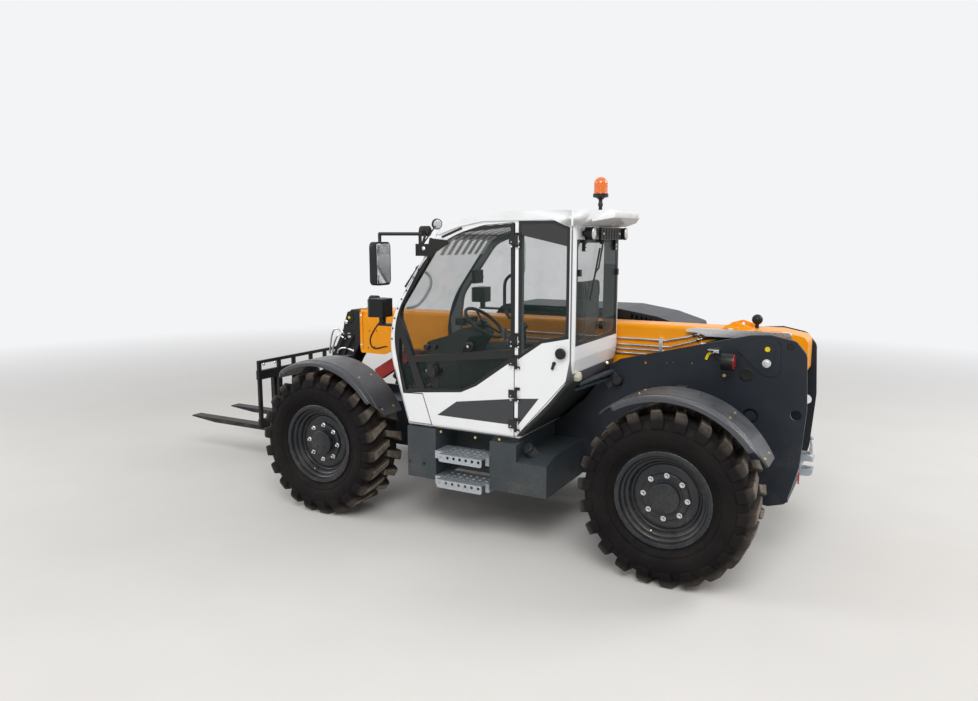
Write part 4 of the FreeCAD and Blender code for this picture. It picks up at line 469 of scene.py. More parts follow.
def dress_nodes():
    """Looks on the part's nodes; soft edges are modifiers, so the meshes stay as they are."""
    for name, look in NODE_LOOKS.items():
        dress(name, look)
    for name, width in (("work_lamps", 0.012), ("mirrors", 0.010), ("side_boxes", 0.004)):
        modify(NODES[name], "WELD", merge_threshold=WELD)
        modify(NODES[name], "BEVEL", width=width, segments=2, limit_method="ANGLE",
               angle_limit=math.radians(50))
    for name, _, _ in WHEELS:
        dress("knuckle_" + name, "dark")
        dress("fender_" + name, "fender")


# Mesh helpers

WELD = 0.00005
SHARP = math.radians(38)


def link(name, data):
    made = bpy.data.objects.new(name, data)
    bpy.context.scene.collection.objects.link(made)
    return made


def shade_smooth(data):
    for polygon in data.polygons:
        polygon.use_smooth = True


def hold(made, look, body, instead=None):
    """Material, carrying body and replaced node of a new piece."""
    made.data.materials.clear()
    made.data.materials.append(MATERIALS[look])
    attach(made, body)
    if instead:
        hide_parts(instead)
    return made


def piece(name, mesh, look, body="chassis", smooth=True, bevel=0.0, instead=None):
    """Object from a bmesh, riding on a CAD body."""
    data = bpy.data.meshes.new(name)
    bmesh.ops.recalc_face_normals(mesh, faces=mesh.faces)
    mesh.to_mesh(data)
    mesh.free()
    made = link(name, data)
    if bevel > 0:
        modify(made, "BEVEL", width=bevel, segments=2, limit_method="ANGLE")
    if smooth:
        shade_smooth(data)
        data.set_sharp_from_angle(angle=SHARP)
    return hold(made, look, body, instead)


def make(name, look, parts, body="chassis", smooth=True, bevel=0.0, instead=None):
    """One piece from rows of a shape function and its values."""
    mesh = bmesh.new()
    for shape, *values in parts:
        shape(mesh, *values)
    return piece(name, mesh, look, body, smooth, bevel, instead)


def skin(mesh, first, second):
    for k in range(len(first)):
        n = (k + 1) % len(first)
        mesh.faces.new((first[k], first[n], second[n], second[k]))


def sweep(mesh, sections):
    """Closed skin through equal rings of points."""
    rings = [[mesh.verts.new(point) for point in ring] for ring in sections]
    for first, second in zip(rings, rings[1:]):
        skin(mesh, first, second)
    mesh.faces.new(list(reversed(rings[0])))
    mesh.faces.new(rings[-1])


def hoop(mesh, sections):
    """Closed skin round a closed row of rings."""
    rings = [[mesh.verts.new(point) for point in ring] for ring in sections]
    for first, second in zip(rings, rings[1:] + rings[:1]):
        skin(mesh, first, second)


def lathe(mesh, start, axis, profile, sides=32):
    """Turned form: profile of (distance along the axis, radius)."""
    axis = Vector(axis).normalized()
    helper = UP if abs(axis.z) < 0.9 else AHEAD
    first = axis.cross(helper).normalized()
    second = axis.cross(first)
    sections = []
    for along, radius in profile:
        centre = Vector(start) + axis * along
        ring = []
        for k in range(sides):
            turn = 2 * math.pi * k / sides
            ring.append(centre + (first * math.cos(turn) + second * math.sin(turn)) * max(radius, 0.0004))
        sections.append(ring)
    sweep(mesh, sections)


def hexagon(mesh, start, axis, across, height):
    lathe(mesh, start, axis, ((0, across / 2), (height * 0.8, across / 2), (height, across * 0.42)), 6)


def bolt(mesh, start, axis, radius, height):
    """Washer and hexagon head."""
    axis = Vector(axis).normalized()
    washer = ((-0.001, radius * 1.5), (height * 0.25, radius * 1.5), (height * 0.26, radius * 0.9))
    lathe(mesh, start, axis, washer, 16)
    hexagon(mesh, Vector(start) + axis * height * 0.2, axis, radius * 2.0, height * 0.8)


def button(mesh, place, axis, radius, height, sides=28):
    """Round head with a rolled edge and a shallow dish."""
    lathe(mesh, place, axis, (
        (-0.001, radius), (height * 0.70, radius), (height * 0.93, radius * 0.92),
        (height, radius * 0.80), (height * 0.92, radius * 0.70), (height * 0.92, 0)), sides)


def dome(mesh, place, axis, radius):
    """Lamp glass."""
    lathe(mesh, place, axis, (
        (-0.001, radius), (0.003, radius * 0.98), (0.007, radius * 0.80), (0.009, radius * 0.45),
        (0.0095, 0)), 40)


def left_row(shape, spots, y, *values):
    """Rows of one shape on a left face, at side-view points in millimetres."""
    return [(shape, at(x, y, z), LEFT, *values) for x, z in spots]


def block(mesh, low, high):
    made = bmesh.ops.create_cube(mesh, size=1.0)
    low = Vector(low)
    size = Vector(high) - low
    for vert in made["verts"]:
        vert.co = Vector([low[k] + (vert.co[k] + 0.5) * size[k] for k in range(3)])


def sized_block(mesh, low, *size):
    block(mesh, low, low + Vector(size))


def beam(mesh, start, end, width, height):
    """Flat bar between two places; width is level, height across it."""
    along = (end - start).normalized()
    level = along.cross(UP if abs(along.z) < 0.95 else AHEAD).normalized()
    upright = level.cross(along)
    corners = ((-1, -1), (1, -1), (1, 1), (-1, 1))
    sweep(mesh, [[centre + level * (a * width / 2) + upright * (b * height / 2) for a, b in corners]
                 for centre in (start, end)])


def strip(mesh, points, y, width, height):
    """Bars from point to point of a side view in millimetres."""
    for first, second in zip(points, points[1:]):
        beam(mesh, at(first[0], y, first[1]), at(second[0], y, second[1]), width, height)


def prism(mesh, points, y0, y1):
    """Side-view outline in millimetres from the rear axle, between two y values in millimetres."""
    sweep(mesh, [[at(x, y, z) for x, z in points] for y in (y0, y1)])


def pipe(name, places, radius, look, body="chassis", instead=None):
    """Round pipe or hose through places, on a smooth curve."""
    curve = bpy.data.curves.new(name, "CURVE")
    curve.dimensions = "3D"
    curve.bevel_depth = radius
    curve.bevel_resolution = 3
    curve.use_fill_caps = True
    curve.resolution_u = 8
    spline = curve.splines.new("NURBS")
    spline.points.add(len(places) - 1)
    for spot, place in zip(spline.points, places):
        spot.co = (*place, 1.0)
    spline.order_u = 3
    spline.use_endpoint_u = True
    holder = link(name + "_path", curve)
    shape = bpy.data.meshes.new_from_object(holder)
    bpy.data.objects.remove(holder)
    shade_smooth(shape)
    return hold(link(name, shape), look, body, instead)


# Tyres and wheels

TYRE_PROFILE = (
    # distance outward from the tyre's middle, radius
    (-0.177, 0.3055), (-0.178, 0.352), (-0.196, 0.372), (-0.218, 0.405), (-0.2275, 0.440),
    (-0.2265, 0.475), (-0.216, 0.510), (-0.198, 0.540), (-0.176, 0.556), (-0.150, 0.562),
    (-0.070, 0.566), (0.0, 0.567), (0.070, 0.566), (0.150, 0.562), (0.176, 0.556), (0.198, 0.540),
    (0.216, 0.510), (0.2265, 0.475), (0.2275, 0.440), (0.218, 0.405), (0.196, 0.372),
    (0.178, 0.352), (0.177, 0.3055),
)
TYRE_SIDES = 96
LUG_PATH = (
    # distance outward from the tyre's middle, top radius, root radius, half width
    (-0.015, 0.6085, 0.558, 0.027),
    (0.060, 0.6095, 0.558, 0.029),
    (0.125, 0.6098, 0.556, 0.032),
    (0.178, 0.6088, 0.548, 0.037),
    (0.200, 0.6010, 0.535, 0.041),
    (0.215, 0.578, 0.510, 0.043),
    (0.2245, 0.540, 0.486, 0.042),
    (0.2290, 0.499, 0.472, 0.038),
)
LUG_COUNT = 22
LUG_SLANT = 0.14

# Thin raised rings on both walls: (radius, distance outward there), and their section.
WALL_RIBS = ((0.392, 0.2115), (0.487, 0.2235))
RIB_SECTION = ((-0.005, -0.004), (-0.002, 0.0022), (0.002, 0.0022), (0.005, -0.004))


def round_axle(centre, side_sign, radius, turn, out):
    """Place at a radius and turn about an axle, out from the wheel's middle."""
    return centre + Vector((radius * math.cos(turn), side_sign * out, radius * math.sin(turn)))


def tyre_rings(centre, side_sign, profile):
    return [[round_axle(centre, side_sign, radius, 2 * math.pi * k / TYRE_SIDES, out) for out, radius in profile]
            for k in range(TYRE_SIDES)]


def tyre_lug(mesh, centre, side_sign, row, start):
    first_out = LUG_PATH[0][0]
    reach = LUG_PATH[-1][0] - first_out
    sections = []
    for out, top, root, half in LUG_PATH:
        turn = start + LUG_SLANT * (out - first_out) / reach
        foot = out - (0.026 if out > 0.19 else 0.0)
        sections.append([
            round_axle(centre, side_sign, radius, turn + across / radius, row * depth)
            for radius, across, depth in (
                (root, -half * 1.2, foot), (top, -half, out), (top, half, out), (root, half * 1.2, foot))])
    sweep(mesh, sections)


def tyre(name, x, side_sign):
    centre = Vector((x, side_sign * TRACK_HALF, AXLE_Z))
    body = "wheel_" + name
    rings = [(hoop, tyre_rings(centre, side_sign, TYRE_PROFILE))]
    for radius, out in WALL_RIBS:
        for way in (1, -1):
            rib = [(way * (out + proud), radius + up) for up, proud in RIB_SECTION]
            rings.append((hoop, tyre_rings(centre, side_sign, rib)))
    make("tyre_wall_" + name, "rubber", rings, body, instead="tyre_" + name)
    pitch = 2 * math.pi / LUG_COUNT
    lugs = [(tyre_lug, centre, side_sign, row, math.pi / 2 + index * pitch + row * pitch / 4)
            for row in (1, -1) for index in range(LUG_COUNT)]
    make("tyre_lugs_" + name, "rubber", lugs, body, bevel=0.007, instead="tyre_" + name)


RIM_PROFILE = (
    # distance outward from the wheel's middle, radius: hub cap, disc, stepped barrel, flanges, back
    (0.1530, 0.0), (0.1530, 0.074), (0.1520, 0.078), (0.1515, 0.099), (0.1490, 0.1035), (0.1440, 0.105),
    (0.1160, 0.106), (0.1150, 0.118), (0.1095, 0.121), (0.1095, 0.159), (0.1070, 0.162), (0.0960, 0.1635),
    (0.0965, 0.175), (0.1010, 0.200), (0.0985, 0.220), (0.0930, 0.2275), (0.0895, 0.2300),
    (0.0895, 0.2380), (0.0930, 0.2440), (0.1010, 0.2475), (0.1130, 0.2500), (0.1210, 0.2560),
    (0.1235, 0.2660), (0.1290, 0.2730), (0.1430, 0.2755), (0.1510, 0.2810), (0.1530, 0.2900),
    (0.1590, 0.2965), (0.1760, 0.2990), (0.1870, 0.3045), (0.1895, 0.3160), (0.1895, 0.3310),
    (0.1870, 0.3350), (0.1835, 0.3350), (0.1800, 0.3310), (0.1780, 0.3120), (0.1760, 0.3050),
    (-0.1760, 0.3050), (-0.1780, 0.3120), (-0.1800, 0.3310), (-0.1835, 0.3350), (-0.1870, 0.3350),
    (-0.1895, 0.3310), (-0.1895, 0.3160), (-0.1870, 0.2960), (-0.1800, 0.2930), (0.1080, 0.2930),
    (0.1110, 0.2890), (0.0790, 0.2250), (0.0790, 0.1350), (0.0700, 0.1350), (-0.0100, 0.1330),
    (-0.0110, 0.0),
)
RIM_SIDES = 96
NUT_CIRCLE = 0.152
NUT_COUNT = 8
SCREW_CIRCLE = 0.048
VALVE_TURN = -1.25
VALVE = ((0.262, 0.118), (0.258, 0.132), (0.250, 0.148))


def wheel(name, x, side_sign):
    """Rim turned in fine steps, silver nuts, the hub cap's small screws and the valve."""
    centre = Vector((x, side_sign * TRACK_HALF, AXLE_Z))
    outward = Vector((0, side_sign, 0))
    body = "wheel_" + name

    def spot(radius, turn, out):
        return round_axle(centre, side_sign, radius, turn, out)

    make("rim_turned_" + name, "rim", [(lathe, centre, outward, RIM_PROFILE, RIM_SIDES)], body,
         instead="rim_" + name)
    make("wheel_nuts_" + name, "chrome", [
        (bolt, spot(NUT_CIRCLE, 2 * math.pi * k / NUT_COUNT + 0.05, 0.1090), outward, 0.0125, 0.026)
        for k in range(NUT_COUNT)], body)
    make("hub_screws_" + name, "rim", [
        (bolt, spot(SCREW_CIRCLE, math.pi / 4 + math.pi / 2 * k, 0.1525), outward, 0.006, 0.006)
        for k in range(4)], body)
    pipe("valve_" + name, [spot(radius, VALVE_TURN, out) for radius, out in VALVE], 0.005, "brass", body)


FENDER_BOLTS = (
    # angle about the axle in degrees, distance from the vehicle's middle
    (72.5, 0.995), (72.5, 0.860), (124.0, 1.050), (124.0, 0.890), (150.5, 1.045), (150.5, 0.890),
)
FENDER_OUTER = 0.719


def fender_bolts(name, x, side_sign):
    rows = []
    for degrees, y in FENDER_BOLTS:
        outward = Vector((math.cos(math.radians(degrees)), 0, math.sin(math.radians(degrees))))
        place = Vector((x, side_sign * y, AXLE_Z)) + outward * FENDER_OUTER
        rows.append((bolt, place, outward, 0.007, 0.006))
    make("fender_bolts_" + name, "brass", rows, "knuckle_" + name)


def build_wheels():
    for row in WHEELS:
        tyre(*row)
        wheel(*row)
        fender_bolts(*row)


# Tower and hitch

HITCH_LEVER = ((-800, 752), (-812, 770), (-806, 830), (-796, 868), (-786, 866), (-790, 828), (-786, 768))
HITCH_KNOB = ((-0.010, 0.004), (-0.006, 0.012), (0.004, 0.015), (0.014, 0.012), (0.018, 0.0))


def build_tower():
    make("pivot_dot", "yellow", left_row(button, [(-505, 1565)], 348, 0.018, 0.007))
    make("pivot_bolts", "steel", left_row(bolt, [(-504, 1465)], 348, 0.020, 0.014))
    for way, name in BOTH_SIDES:
        face = way * TOWER_FACE
        strap = way * STRAP_FACE
        edge = way * 395
        outward = LEFT * way
        make("tower_lens_" + name, "red_lens", [(dome, at(-300, way * 450, 1471), BACK, 0.057)])
        make("tower_plug_" + name, "plastic", [
            (button, at(-366, face, 1370), outward, 0.050, 0.006),
            (button, at(-655, way * 322, 1590), outward, 0.0238, 0.004)])
        make("tower_knob_" + name, "brass", [(button, at(-215, face, 1353), outward, 0.014, 0.022)])
        pipe("lamp_cable_" + name, route((
            (-225, way * 445, 1471), (-190, way * 430, 1475), (-150, way * 380, 1500),
            (-140, way * 345, 1510), (-140, way * 328, 1510))), 0.007, "hose")
        make("lamp_strap_" + name, "yellow", [
            (strip, ((-76, 1458), (-92, 1500)), strap, 0.006, 0.020),
            (strip, ((-90, 1496), (-128, 1528)), strap, 0.006, 0.020)], bevel=0.002)
        make("lamp_shelf_" + name, "steel", [
            (block, at(-178, min(face, edge), 1536), at(-98, max(face, edge), 1542)),
            (strip, ((-138, 1510), (-138, 1540)), strap, 0.006, 0.060)], bevel=0.0015)
    make("rear_reflectors", "red_lens", [
        (block, at(-762, way * 318 - 14, 610), at(-751, way * 318 + 10, 690)) for way in (1, -1)], bevel=0.003)
    make("hitch_lever", "zinc", [
        (prism, HITCH_LEVER, -12, 12), (lathe, at(-799, 0, 872), UP, HITCH_KNOB)], bevel=0.002)


# Cab


def seam(mesh, points, y):
    """Thin dark line laid on a side face."""
    strip(mesh, points, y, 0.0016, 0.004)


PANEL_SEAM = ((700, 1345), (733, 1340), (800, 1262), (926, 1117), (1030, 1000), (1118, 896))
HINGES = (950, 1180, 1420, 1580, 2300)
CAB_ARC = (1541, 1515)
RIVET_RADIUS = 690
RIVET_TURNS = (38, 31, 24, 17, 10, 3)


def build_cab_left():
    make("panel_seam", "plastic", [(seam, PANEL_SEAM, CAB_FACE)], smooth=False)
    rivets = [(1969, 2104), (2019, 2042)]
    for degrees in RIVET_TURNS:
        turn = math.radians(degrees)
        rivets.append((CAB_ARC[0] + RIVET_RADIUS * math.cos(turn), CAB_ARC[1] + RIVET_RADIUS * math.sin(turn)))
    make("pillar_rivets", "plastic", left_row(button, rivets, CAB_FACE, 0.007, 0.004, 14))
    fixed = [(1108, z + up) for z in HINGES for up in (-20, 20)]
    make("hinge_screws", "steel", left_row(bolt, fixed, 1058, 0.005, 0.004))
    leaves = [(1168, z + up) for z in HINGES for up in (-16, 16)]
    make("door_hinge_screws", "steel", left_row(bolt, leaves, 1056, 0.005, 0.004), "door")
    make("gutter_strip", "plastic", [
        (strip, ((1754, 2351), (1579, 2417)), CAB_FACE + 1, 0.012, 0.016)], bevel=0.003)
    make("mirror_bolt", "steel", left_row(bolt, [(1912, 2266)], 1062, 0.010, 0.008))
    make("sill_bolts", "brass", left_row(bolt, ((1781, 846), (1474, 838), (1266, 850)), 1048, 0.007, 0.006))
    make("box_bolts", "dark", left_row(bolt, ((2080, 568), (1943, 568)), CAB_FACE, 0.009, 0.008))


DOOR_LOCK = ((0, 0.034), (0.010, 0.034), (0.014, 0.030), (0.016, 0.016), (0.030, 0.015), (0.034, 0.012),
             (0.034, 0))
DOOR_KNOB = ((0, 0.018), (0.022, 0.018), (0.030, 0.023), (0.044, 0.023), (0.048, 0.019), (0.048, 0))
DOOR_HANDLE = ((1196, 1010, 2075), (1225, 990, 2065), (1258, 985, 2025), (1258, 985, 1930),
               (1258, 985, 1835), (1235, 990, 1785), (1202, 1010, 1765))


def build_door_parts():
    """Locks, knobs and grab handle, all on the door."""
    make("door_rose", "plastic", left_row(button, [(1843, 1324)], 1058, 0.050, 0.012), "door")
    locks = left_row(lathe, [(1517, 1540)], 1048, DOOR_LOCK, 36)
    knobs = left_row(lathe, ((1890, 1509), (1826, 1513)), 1036, DOOR_KNOB, 28)
    make("door_locks", "plastic", locks + knobs, "door")
    make("lock_dots", "steel", left_row(button, [(1517, 1540)], 1080, 0.009, 0.005) + left_row(
        button, [(1902, 1321)], 1050, 0.010, 0.006), "door")
    pipe("door_handle", route(DOOR_HANDLE), 0.012, "plastic", "door")


LATCH_KNOB = ((0, 0.030), (0.008, 0.030), (0.012, 0.034), (0.026, 0.040), (0.036, 0.040), (0.042, 0.034),
              (0.044, 0))


def build_rear_side():
    """Latch of the rear side window, and the small lever below it."""
    make("window_latch", "plastic", [
        (lathe, at(768, 1048, 1538), LEFT, LATCH_KNOB, 40),
        (lathe, at(826, 1048, 1461), LEFT, ((0, 0.014), (0.010, 0.014), (0.014, 0.009), (0.014, 0)), 24),
        (beam, at(826, 1058, 1461), at(838, 1060, 1418), 0.010, 0.020)], bevel=0.002)


def build_cab_back():
    """Wiper, knobs, hinges and latches on and round the rear window."""
    face = WINDOW_FACE
    make("rear_wiper", "plastic", [
        (lathe, at(face, 553, 2325), BACK, (
            (-0.006, 0.026), (0.010, 0.026), (0.020, 0.020), (0.026, 0.012), (0.026, 0))),
        (beam, at(face - 18, 553, 2325), at(face - 16, 640, 2120), 0.008, 0.016),
        (beam, at(face - 10, 600, 2270), at(face - 8, 780, 1900), 0.010, 0.014),
        (beam, at(face - 16, 636, 2130), at(face - 8, 690, 2085), 0.008, 0.010)], bevel=0.0015)
    make("rear_window_knob", "plastic", [(button, at(face + 4, 529, 1695), BACK, 0.030, 0.032)])
    hinges = []
    for y in (892, 250):
        hinges.append((block, at(face - 12, y - 15, 2250), at(face + 12, y + 15, 2318)))
        hinges.append((lathe, at(face - 4, y - 24, 2318), LEFT, (
            (0, 0.010), (0.002, 0.013), (0.046, 0.013), (0.048, 0.010))))
    for y, z in ((972, 2102), (188, 2082)):
        hinges.append((block, at(face - 12, y - 16, z - 24), at(face + 8, y + 16, z + 24)))
    make("rear_window_hinges", "plastic", hinges, bevel=0.003)
    make("rear_hinge_bolts", "steel", [
        (bolt, at(face - 12, y, z), BACK, 0.007, 0.006) for y in (892, 250) for z in (2264, 2290)])
    make("cab_mount", "cream", [
        (hexagon, at(712, 940, 1362), BACK, 0.074, 0.044),
        (lathe, at(670, 940, 1362), BACK, ((-0.004, 0.024), (0.004, 0.024), (0.006, 0.020), (0.006, 0)))],
         bevel=0.002)
    make("mount_bolts", "steel", [(bolt, at(702, 304, 1369), BACK, 0.012, 0.016)])
    make("cab_support", "box", [
        (beam, at(640, 333, 1314), at(742, 800, 1280), 0.050, 0.024),
        (beam, at(660, 333, 1262), at(776, 800, 1236), 0.050, 0.024),
        (beam, at(600, 338, 1290), at(700, 338, 1210), 0.010, 0.110)], bevel=0.003)
    make("tower_filler", "plastic", [(lathe, at(589, 330, 1232), (0, 1, 0.35), (
        (-0.01, 0.034), (0.030, 0.034), (0.034, 0.040), (0.052, 0.040), (0.058, 0.034), (0.058, 0)))])


ROOF_BAR = ((1140, 2470), (1390, 2462), (1700, 2374), (1785, 2318), (1862, 2212))
ROOF_BAR_COUNT = 7
WIPER_Y = 905
INSIDE_HANDLE = ((1962, 965, 2080), (1930, 955, 2060), (1915, 950, 2010), (1936, 950, 1940),
                 (2020, 950, 1835), (2080, 952, 1800), (2140, 960, 1795))


def build_front_glass():
    """Front wiper, the pale inside handle and the row of flat bars under the roof glass."""
    make("front_wiper", "plastic", [
        (strip, ((2060, 2128), (2196, 1955)), WIPER_Y, 0.010, 0.016),
        (strip, ((2128, 2048), (2268, 1720)), WIPER_Y, 0.012, 0.014),
        (lathe, at(2052, WIPER_Y, 2090), (0.82, 0, 0.57), (
            (0, 0.022), (0.030, 0.022), (0.040, 0.014), (0.040, 0)))], bevel=0.0015)
    pipe("inside_handle", route(INSIDE_HANDLE), 0.011, "handle")
    make("roof_bars", "white", [
        (strip, ROOF_BAR, 245 + index * 107, 0.046, 0.008) for index in range(ROOF_BAR_COUNT)], bevel=0.002)


def build_controls():
    """Screen, switches, instrument face and the spokes' cap seen through the panes."""
    make("cab_screens", "plastic", [
        (block, at(1884, 170, 1960), at(1910, 330, 2075)),
        (beam, at(1905, 140, 2010), at(1900, 190, 2010), 0.020, 0.020),
        (block, at(1800, 420, 1640), at(1880, 660, 1700))], bevel=0.006)
    make("console_switches", "grey", [
        (sized_block, at(1240 + index * 42, 178 + row * 60, 1466), 0.026, 0.036, 0.016)
        for row in range(2) for index in range(6)], bevel=0.003)
    make("dash_dials", "grey", [
        (button, at(1812, y, 1660), (-0.9, 0, 0.35), 0.030, 0.010) for y in (480, 600)])
    make("wheel_cap", "plastic", [(button, at(1672, 550, 1676), (-0.616, 0, 0.788), 0.034, 0.012)])


PAD_CORNER = 0.028
PAD_GRID = 0.008
PAD_SWELL = 0.012
GROOVE_WIDTH = 0.006
GROOVE_DEPTH = 0.007
CLOTH_STEPS = 20


def swollen(name, points, y0, y1, grooves):
    """Pad from a side-view outline, swelled by cloth pressure, then creased by sewn grooves."""
    made = make(name, "seat", [(prism, points, y0, y1)])
    modify(made, "BEVEL", width=PAD_CORNER, segments=4)
    modify(made, "REMESH", mode="VOXEL", voxel_size=PAD_GRID)
    settle(made)
    starts = [vert.co.copy() for vert in made.data.vertices]
    cloth = made.modifiers.new("Swell", "CLOTH")
    cloth.settings.use_pressure = True
    cloth.settings.uniform_pressure_force = 4.0
    cloth.settings.effector_weights.gravity = 0.0
    for number in range(1, CLOTH_STEPS + 1):
        bpy.context.scene.frame_set(number)
    settle(made)
    bpy.context.scene.frame_set(1)
    for vert, start in zip(made.data.vertices, starts):
        step = vert.co - start
        if step.length > PAD_SWELL:
            vert.co = start + step * (PAD_SWELL / step.length)
    modify(made, "SUBSURF", levels=1)
    settle(made)
    outward = [vert.normal.copy() for vert in made.data.vertices]
    for vert, normal in zip(made.data.vertices, outward):
        depth = max(math.exp(-((vert.co[axis] - place) / GROOVE_WIDTH) ** 2) for axis, place in grooves)
        vert.co -= normal * depth * GROOVE_DEPTH
    shade_smooth(made.data)
    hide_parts("driver_seat")


def settle(made):
    """Writes a piece's modifiers into its mesh."""
    shape = bpy.data.meshes.new_from_object(made.evaluated_get(bpy.context.evaluated_depsgraph_get()))
    made.modifiers.clear()
    made.data = shape


CUSHION = ((872, 1364), (1322, 1390), (1338, 1446), (1296, 1468), (872, 1450))
SEAT_BACK = ((790, 1478), (890, 1478), (868, 1700), (794, 2038), (742, 2038), (748, 1700))
# Seams that run along the pads, then the ones across each, as (axis, place).
LONG_GROOVES = [(1, 0.435), (1, 0.705)]
CUSHION_GROOVES = [(0, REAR_X + 1.010), (0, REAR_X + 1.150)]
BACK_GROOVES = [(2, 1.62), (2, 1.76), (2, 1.90)]
BELLOWS_FOLDS = 13


def build_seat():
    swollen("seat_cushion", CUSHION, 352, 788, LONG_GROOVES + CUSHION_GROOVES)
    swollen("seat_back", SEAT_BACK, 362, 778, LONG_GROOVES + BACK_GROOVES)
    sections = []
    for index in range(BELLOWS_FOLDS):
        inset = 0 if index % 2 else 16
        back, front, right, left = 910 + inset, 1280 - inset, 405 + inset, 735 - inset
        sections.append([at(x, y, 1195 + index * 14) for x, y in (
            (back, right + 25), (back + 25, right), (front - 25, right), (front, right + 25),
            (front, left - 25), (front - 25, left), (back + 25, left), (back, left - 25))])
    make("seat_bellows", "hose", [
        (sweep, sections), (prism, ((1175, 915), (1285, 915), (1285, 1200), (915, 1200)), 420, 720)],
         smooth=False, instead="driver_seat")
    rails = [(block, at(900, y, 1352), at(1270, y + 30, 1378)) for y in (420, 690)]
    rails.append((block, at(1285, 560, 1358), at(1335, 580, 1368)))
    make("seat_rails", "dark", rails, bevel=0.003, instead="driver_seat")


ROOF_TAIL = (
    # plan of the roof's rear edge, millimetres from the rear axle, from left to right
    (575, 1075), (560, 1050), (470, 850), (412, 630), (412, 520), (470, 300), (560, 100), (575, 75),
)


def build_roof():
    """The roof with its rear visor drawn in to a rounded tail; the solid's visor ends square."""
    mesh = bmesh.new()
    mesh.from_mesh(NODES["cab_roof"].data)
    bmesh.ops.remove_doubles(mesh, verts=mesh.verts, dist=WELD)
    for first, second in zip(ROOF_TAIL, ROOF_TAIL[1:]):
        start = at(*first, 2500)
        along = at(*second, 2500) - start
        outward = along.cross(UP).normalized()
        if outward.x > 0:
            outward = -outward
        parts = mesh.verts[:] + mesh.edges[:] + mesh.faces[:]
        cut = bmesh.ops.bisect_plane(mesh, geom=parts, plane_co=start, plane_no=outward, clear_outer=True)
        edges = [item for item in cut["geom_cut"] if isinstance(item, bmesh.types.BMEdge)]
        bmesh.ops.holes_fill(mesh, edges=edges, sides=0)
    made = piece("roof_shell", mesh, "white", instead="cab_roof")
    modify(made, "WEIGHTED_NORMAL", keep_sharp=True)


BEACON_FOOT = (
    (0.0005, 0.026), (0.006, 0.026), (0.010, 0.014), (0.040, 0.0135), (0.042, 0.018), (0.060, 0.018),
    (0.066, 0.014), (0.086, 0.014), (0.100, 0.030), (0.106, 0.056), (0.128, 0.0555), (0.132, 0.051),
    (0.132, 0.0),
)
BEACON_RADIUS = 0.050


def build_beacon():
    foot = at(670, 600, 2533)
    make("beacon_base", "plastic", [(lathe, foot, UP, BEACON_FOOT, 40)], instead="beacon")
    profile = [(0.131, BEACON_RADIUS)]
    for index in range(11):
        z = 0.133 + index * 0.006
        profile += [(z, BEACON_RADIUS), (z + 0.003, 0.0484)]
    profile += [(0.199, 0.0495), (0.203, 0.0502), (0.207, 0.0495)]
    for degrees in range(8, 90, 9):
        turn = math.radians(degrees)
        profile.append((0.200 + BEACON_RADIUS * math.sin(turn), BEACON_RADIUS * math.cos(turn)))
    profile.append((0.250, 0.0))
    make("beacon_lens", "amber", [(lathe, foot, UP, profile, 48)], instead="beacon")


LAMP_RING = ((-0.012, 0.046), (-0.001, 0.047), (0.004, 0.045), (0.004, 0.040), (-0.004, 0.039), (-0.012, 0.039))
# A head lamp's frame, round its middle: y from and to, z from and to.
LAMP_FRAME = ((-96, 96, 1704, 1716), (-96, 96, 1834, 1846), (-96, -84, 1704, 1846), (84, 96, 1704, 1846))


def build_lamps():
    make("work_lenses", "lamp", [(dome, at(604, y, REAR_LAMP_Z), BACK, 0.041) for y in REAR_LAMPS])
    make("work_lamp_rings", "plastic", [
        (lathe, at(606, y, REAR_LAMP_Z), BACK, LAMP_RING, 40) for y in REAR_LAMPS])
    make("front_lamp_lens", "lamp", [(dome, at(2014, 935, 2397), AHEAD, 0.037)])
    mirrors = [(lathe, at(1921, 852.5, 2451), (-0.8, 0.5, -0.2), (
        (0.0, 0.036), (0.007, 0.036), (0.009, 0.033), (0.009, 0)), 40)]
    lenses = []
    rims = []
    for way in (1, -1):
        middle = way * MIRROR_Y
        mirrors.append((block, at(2187, middle - 82, 2000), at(2193, middle + 82, 2300)))
        middle = way * HEAD_LAMP_Y
        lenses.append((sized_block, at(2524, middle - 84, 1716), 0.010, 0.168, 0.118))
        for y0, y1, z0, z1 in LAMP_FRAME:
            rims.append((block, at(2522, middle + y0, z0), at(2538, middle + y1, z1)))
    make("mirror_faces", "mirror", mirrors, bevel=0.002)
    make("headlamp_lenses", "lamp", lenses, bevel=0.004)
    make("headlamp_rims", "grey", rims, bevel=0.002)
    grid = [(block, at(618, y, 2338), at(623, y + 6, 2412)) for y in range(300, 700, 58)]
    grid += [(block, at(618, 276, z), at(623, 694, z + 4)) for z in (2352, 2374, 2396)]
    make("plate_grid", "plastic", grid, bevel=0.001)
    make("plate_lamps", "lamp", [(dome, at(621, y, REAR_LAMP_Z), BACK, 0.010) for y in (310, 660)])


# Boom

FITTINGS = ((86, 1598), (58, 1564), (28, 1530), (-2, 1494))
FITTING_AXIS = (-1, 0, 0.34)
HOSE_ENDS = ((42, 1610), (14, 1576), (-16, 1542), (-46, 1506))
COLLAR_BOLTS = ((3202, 60, 1453), (3118, 60, 1458), (3219, 60, 1286), (3146, 60, 1301), (3295, 76, 1600),
                (3295, 76, 1310))
BOOM_CABLE = ((3010, 62, 1590), (3065, 68, 1562), (3152, 69, 1459), (3204, 70, 1366), (3175, 70, 1290),
              (3110, 69, 1284), (3009, 68, 1318), (2975, 60, 1312))


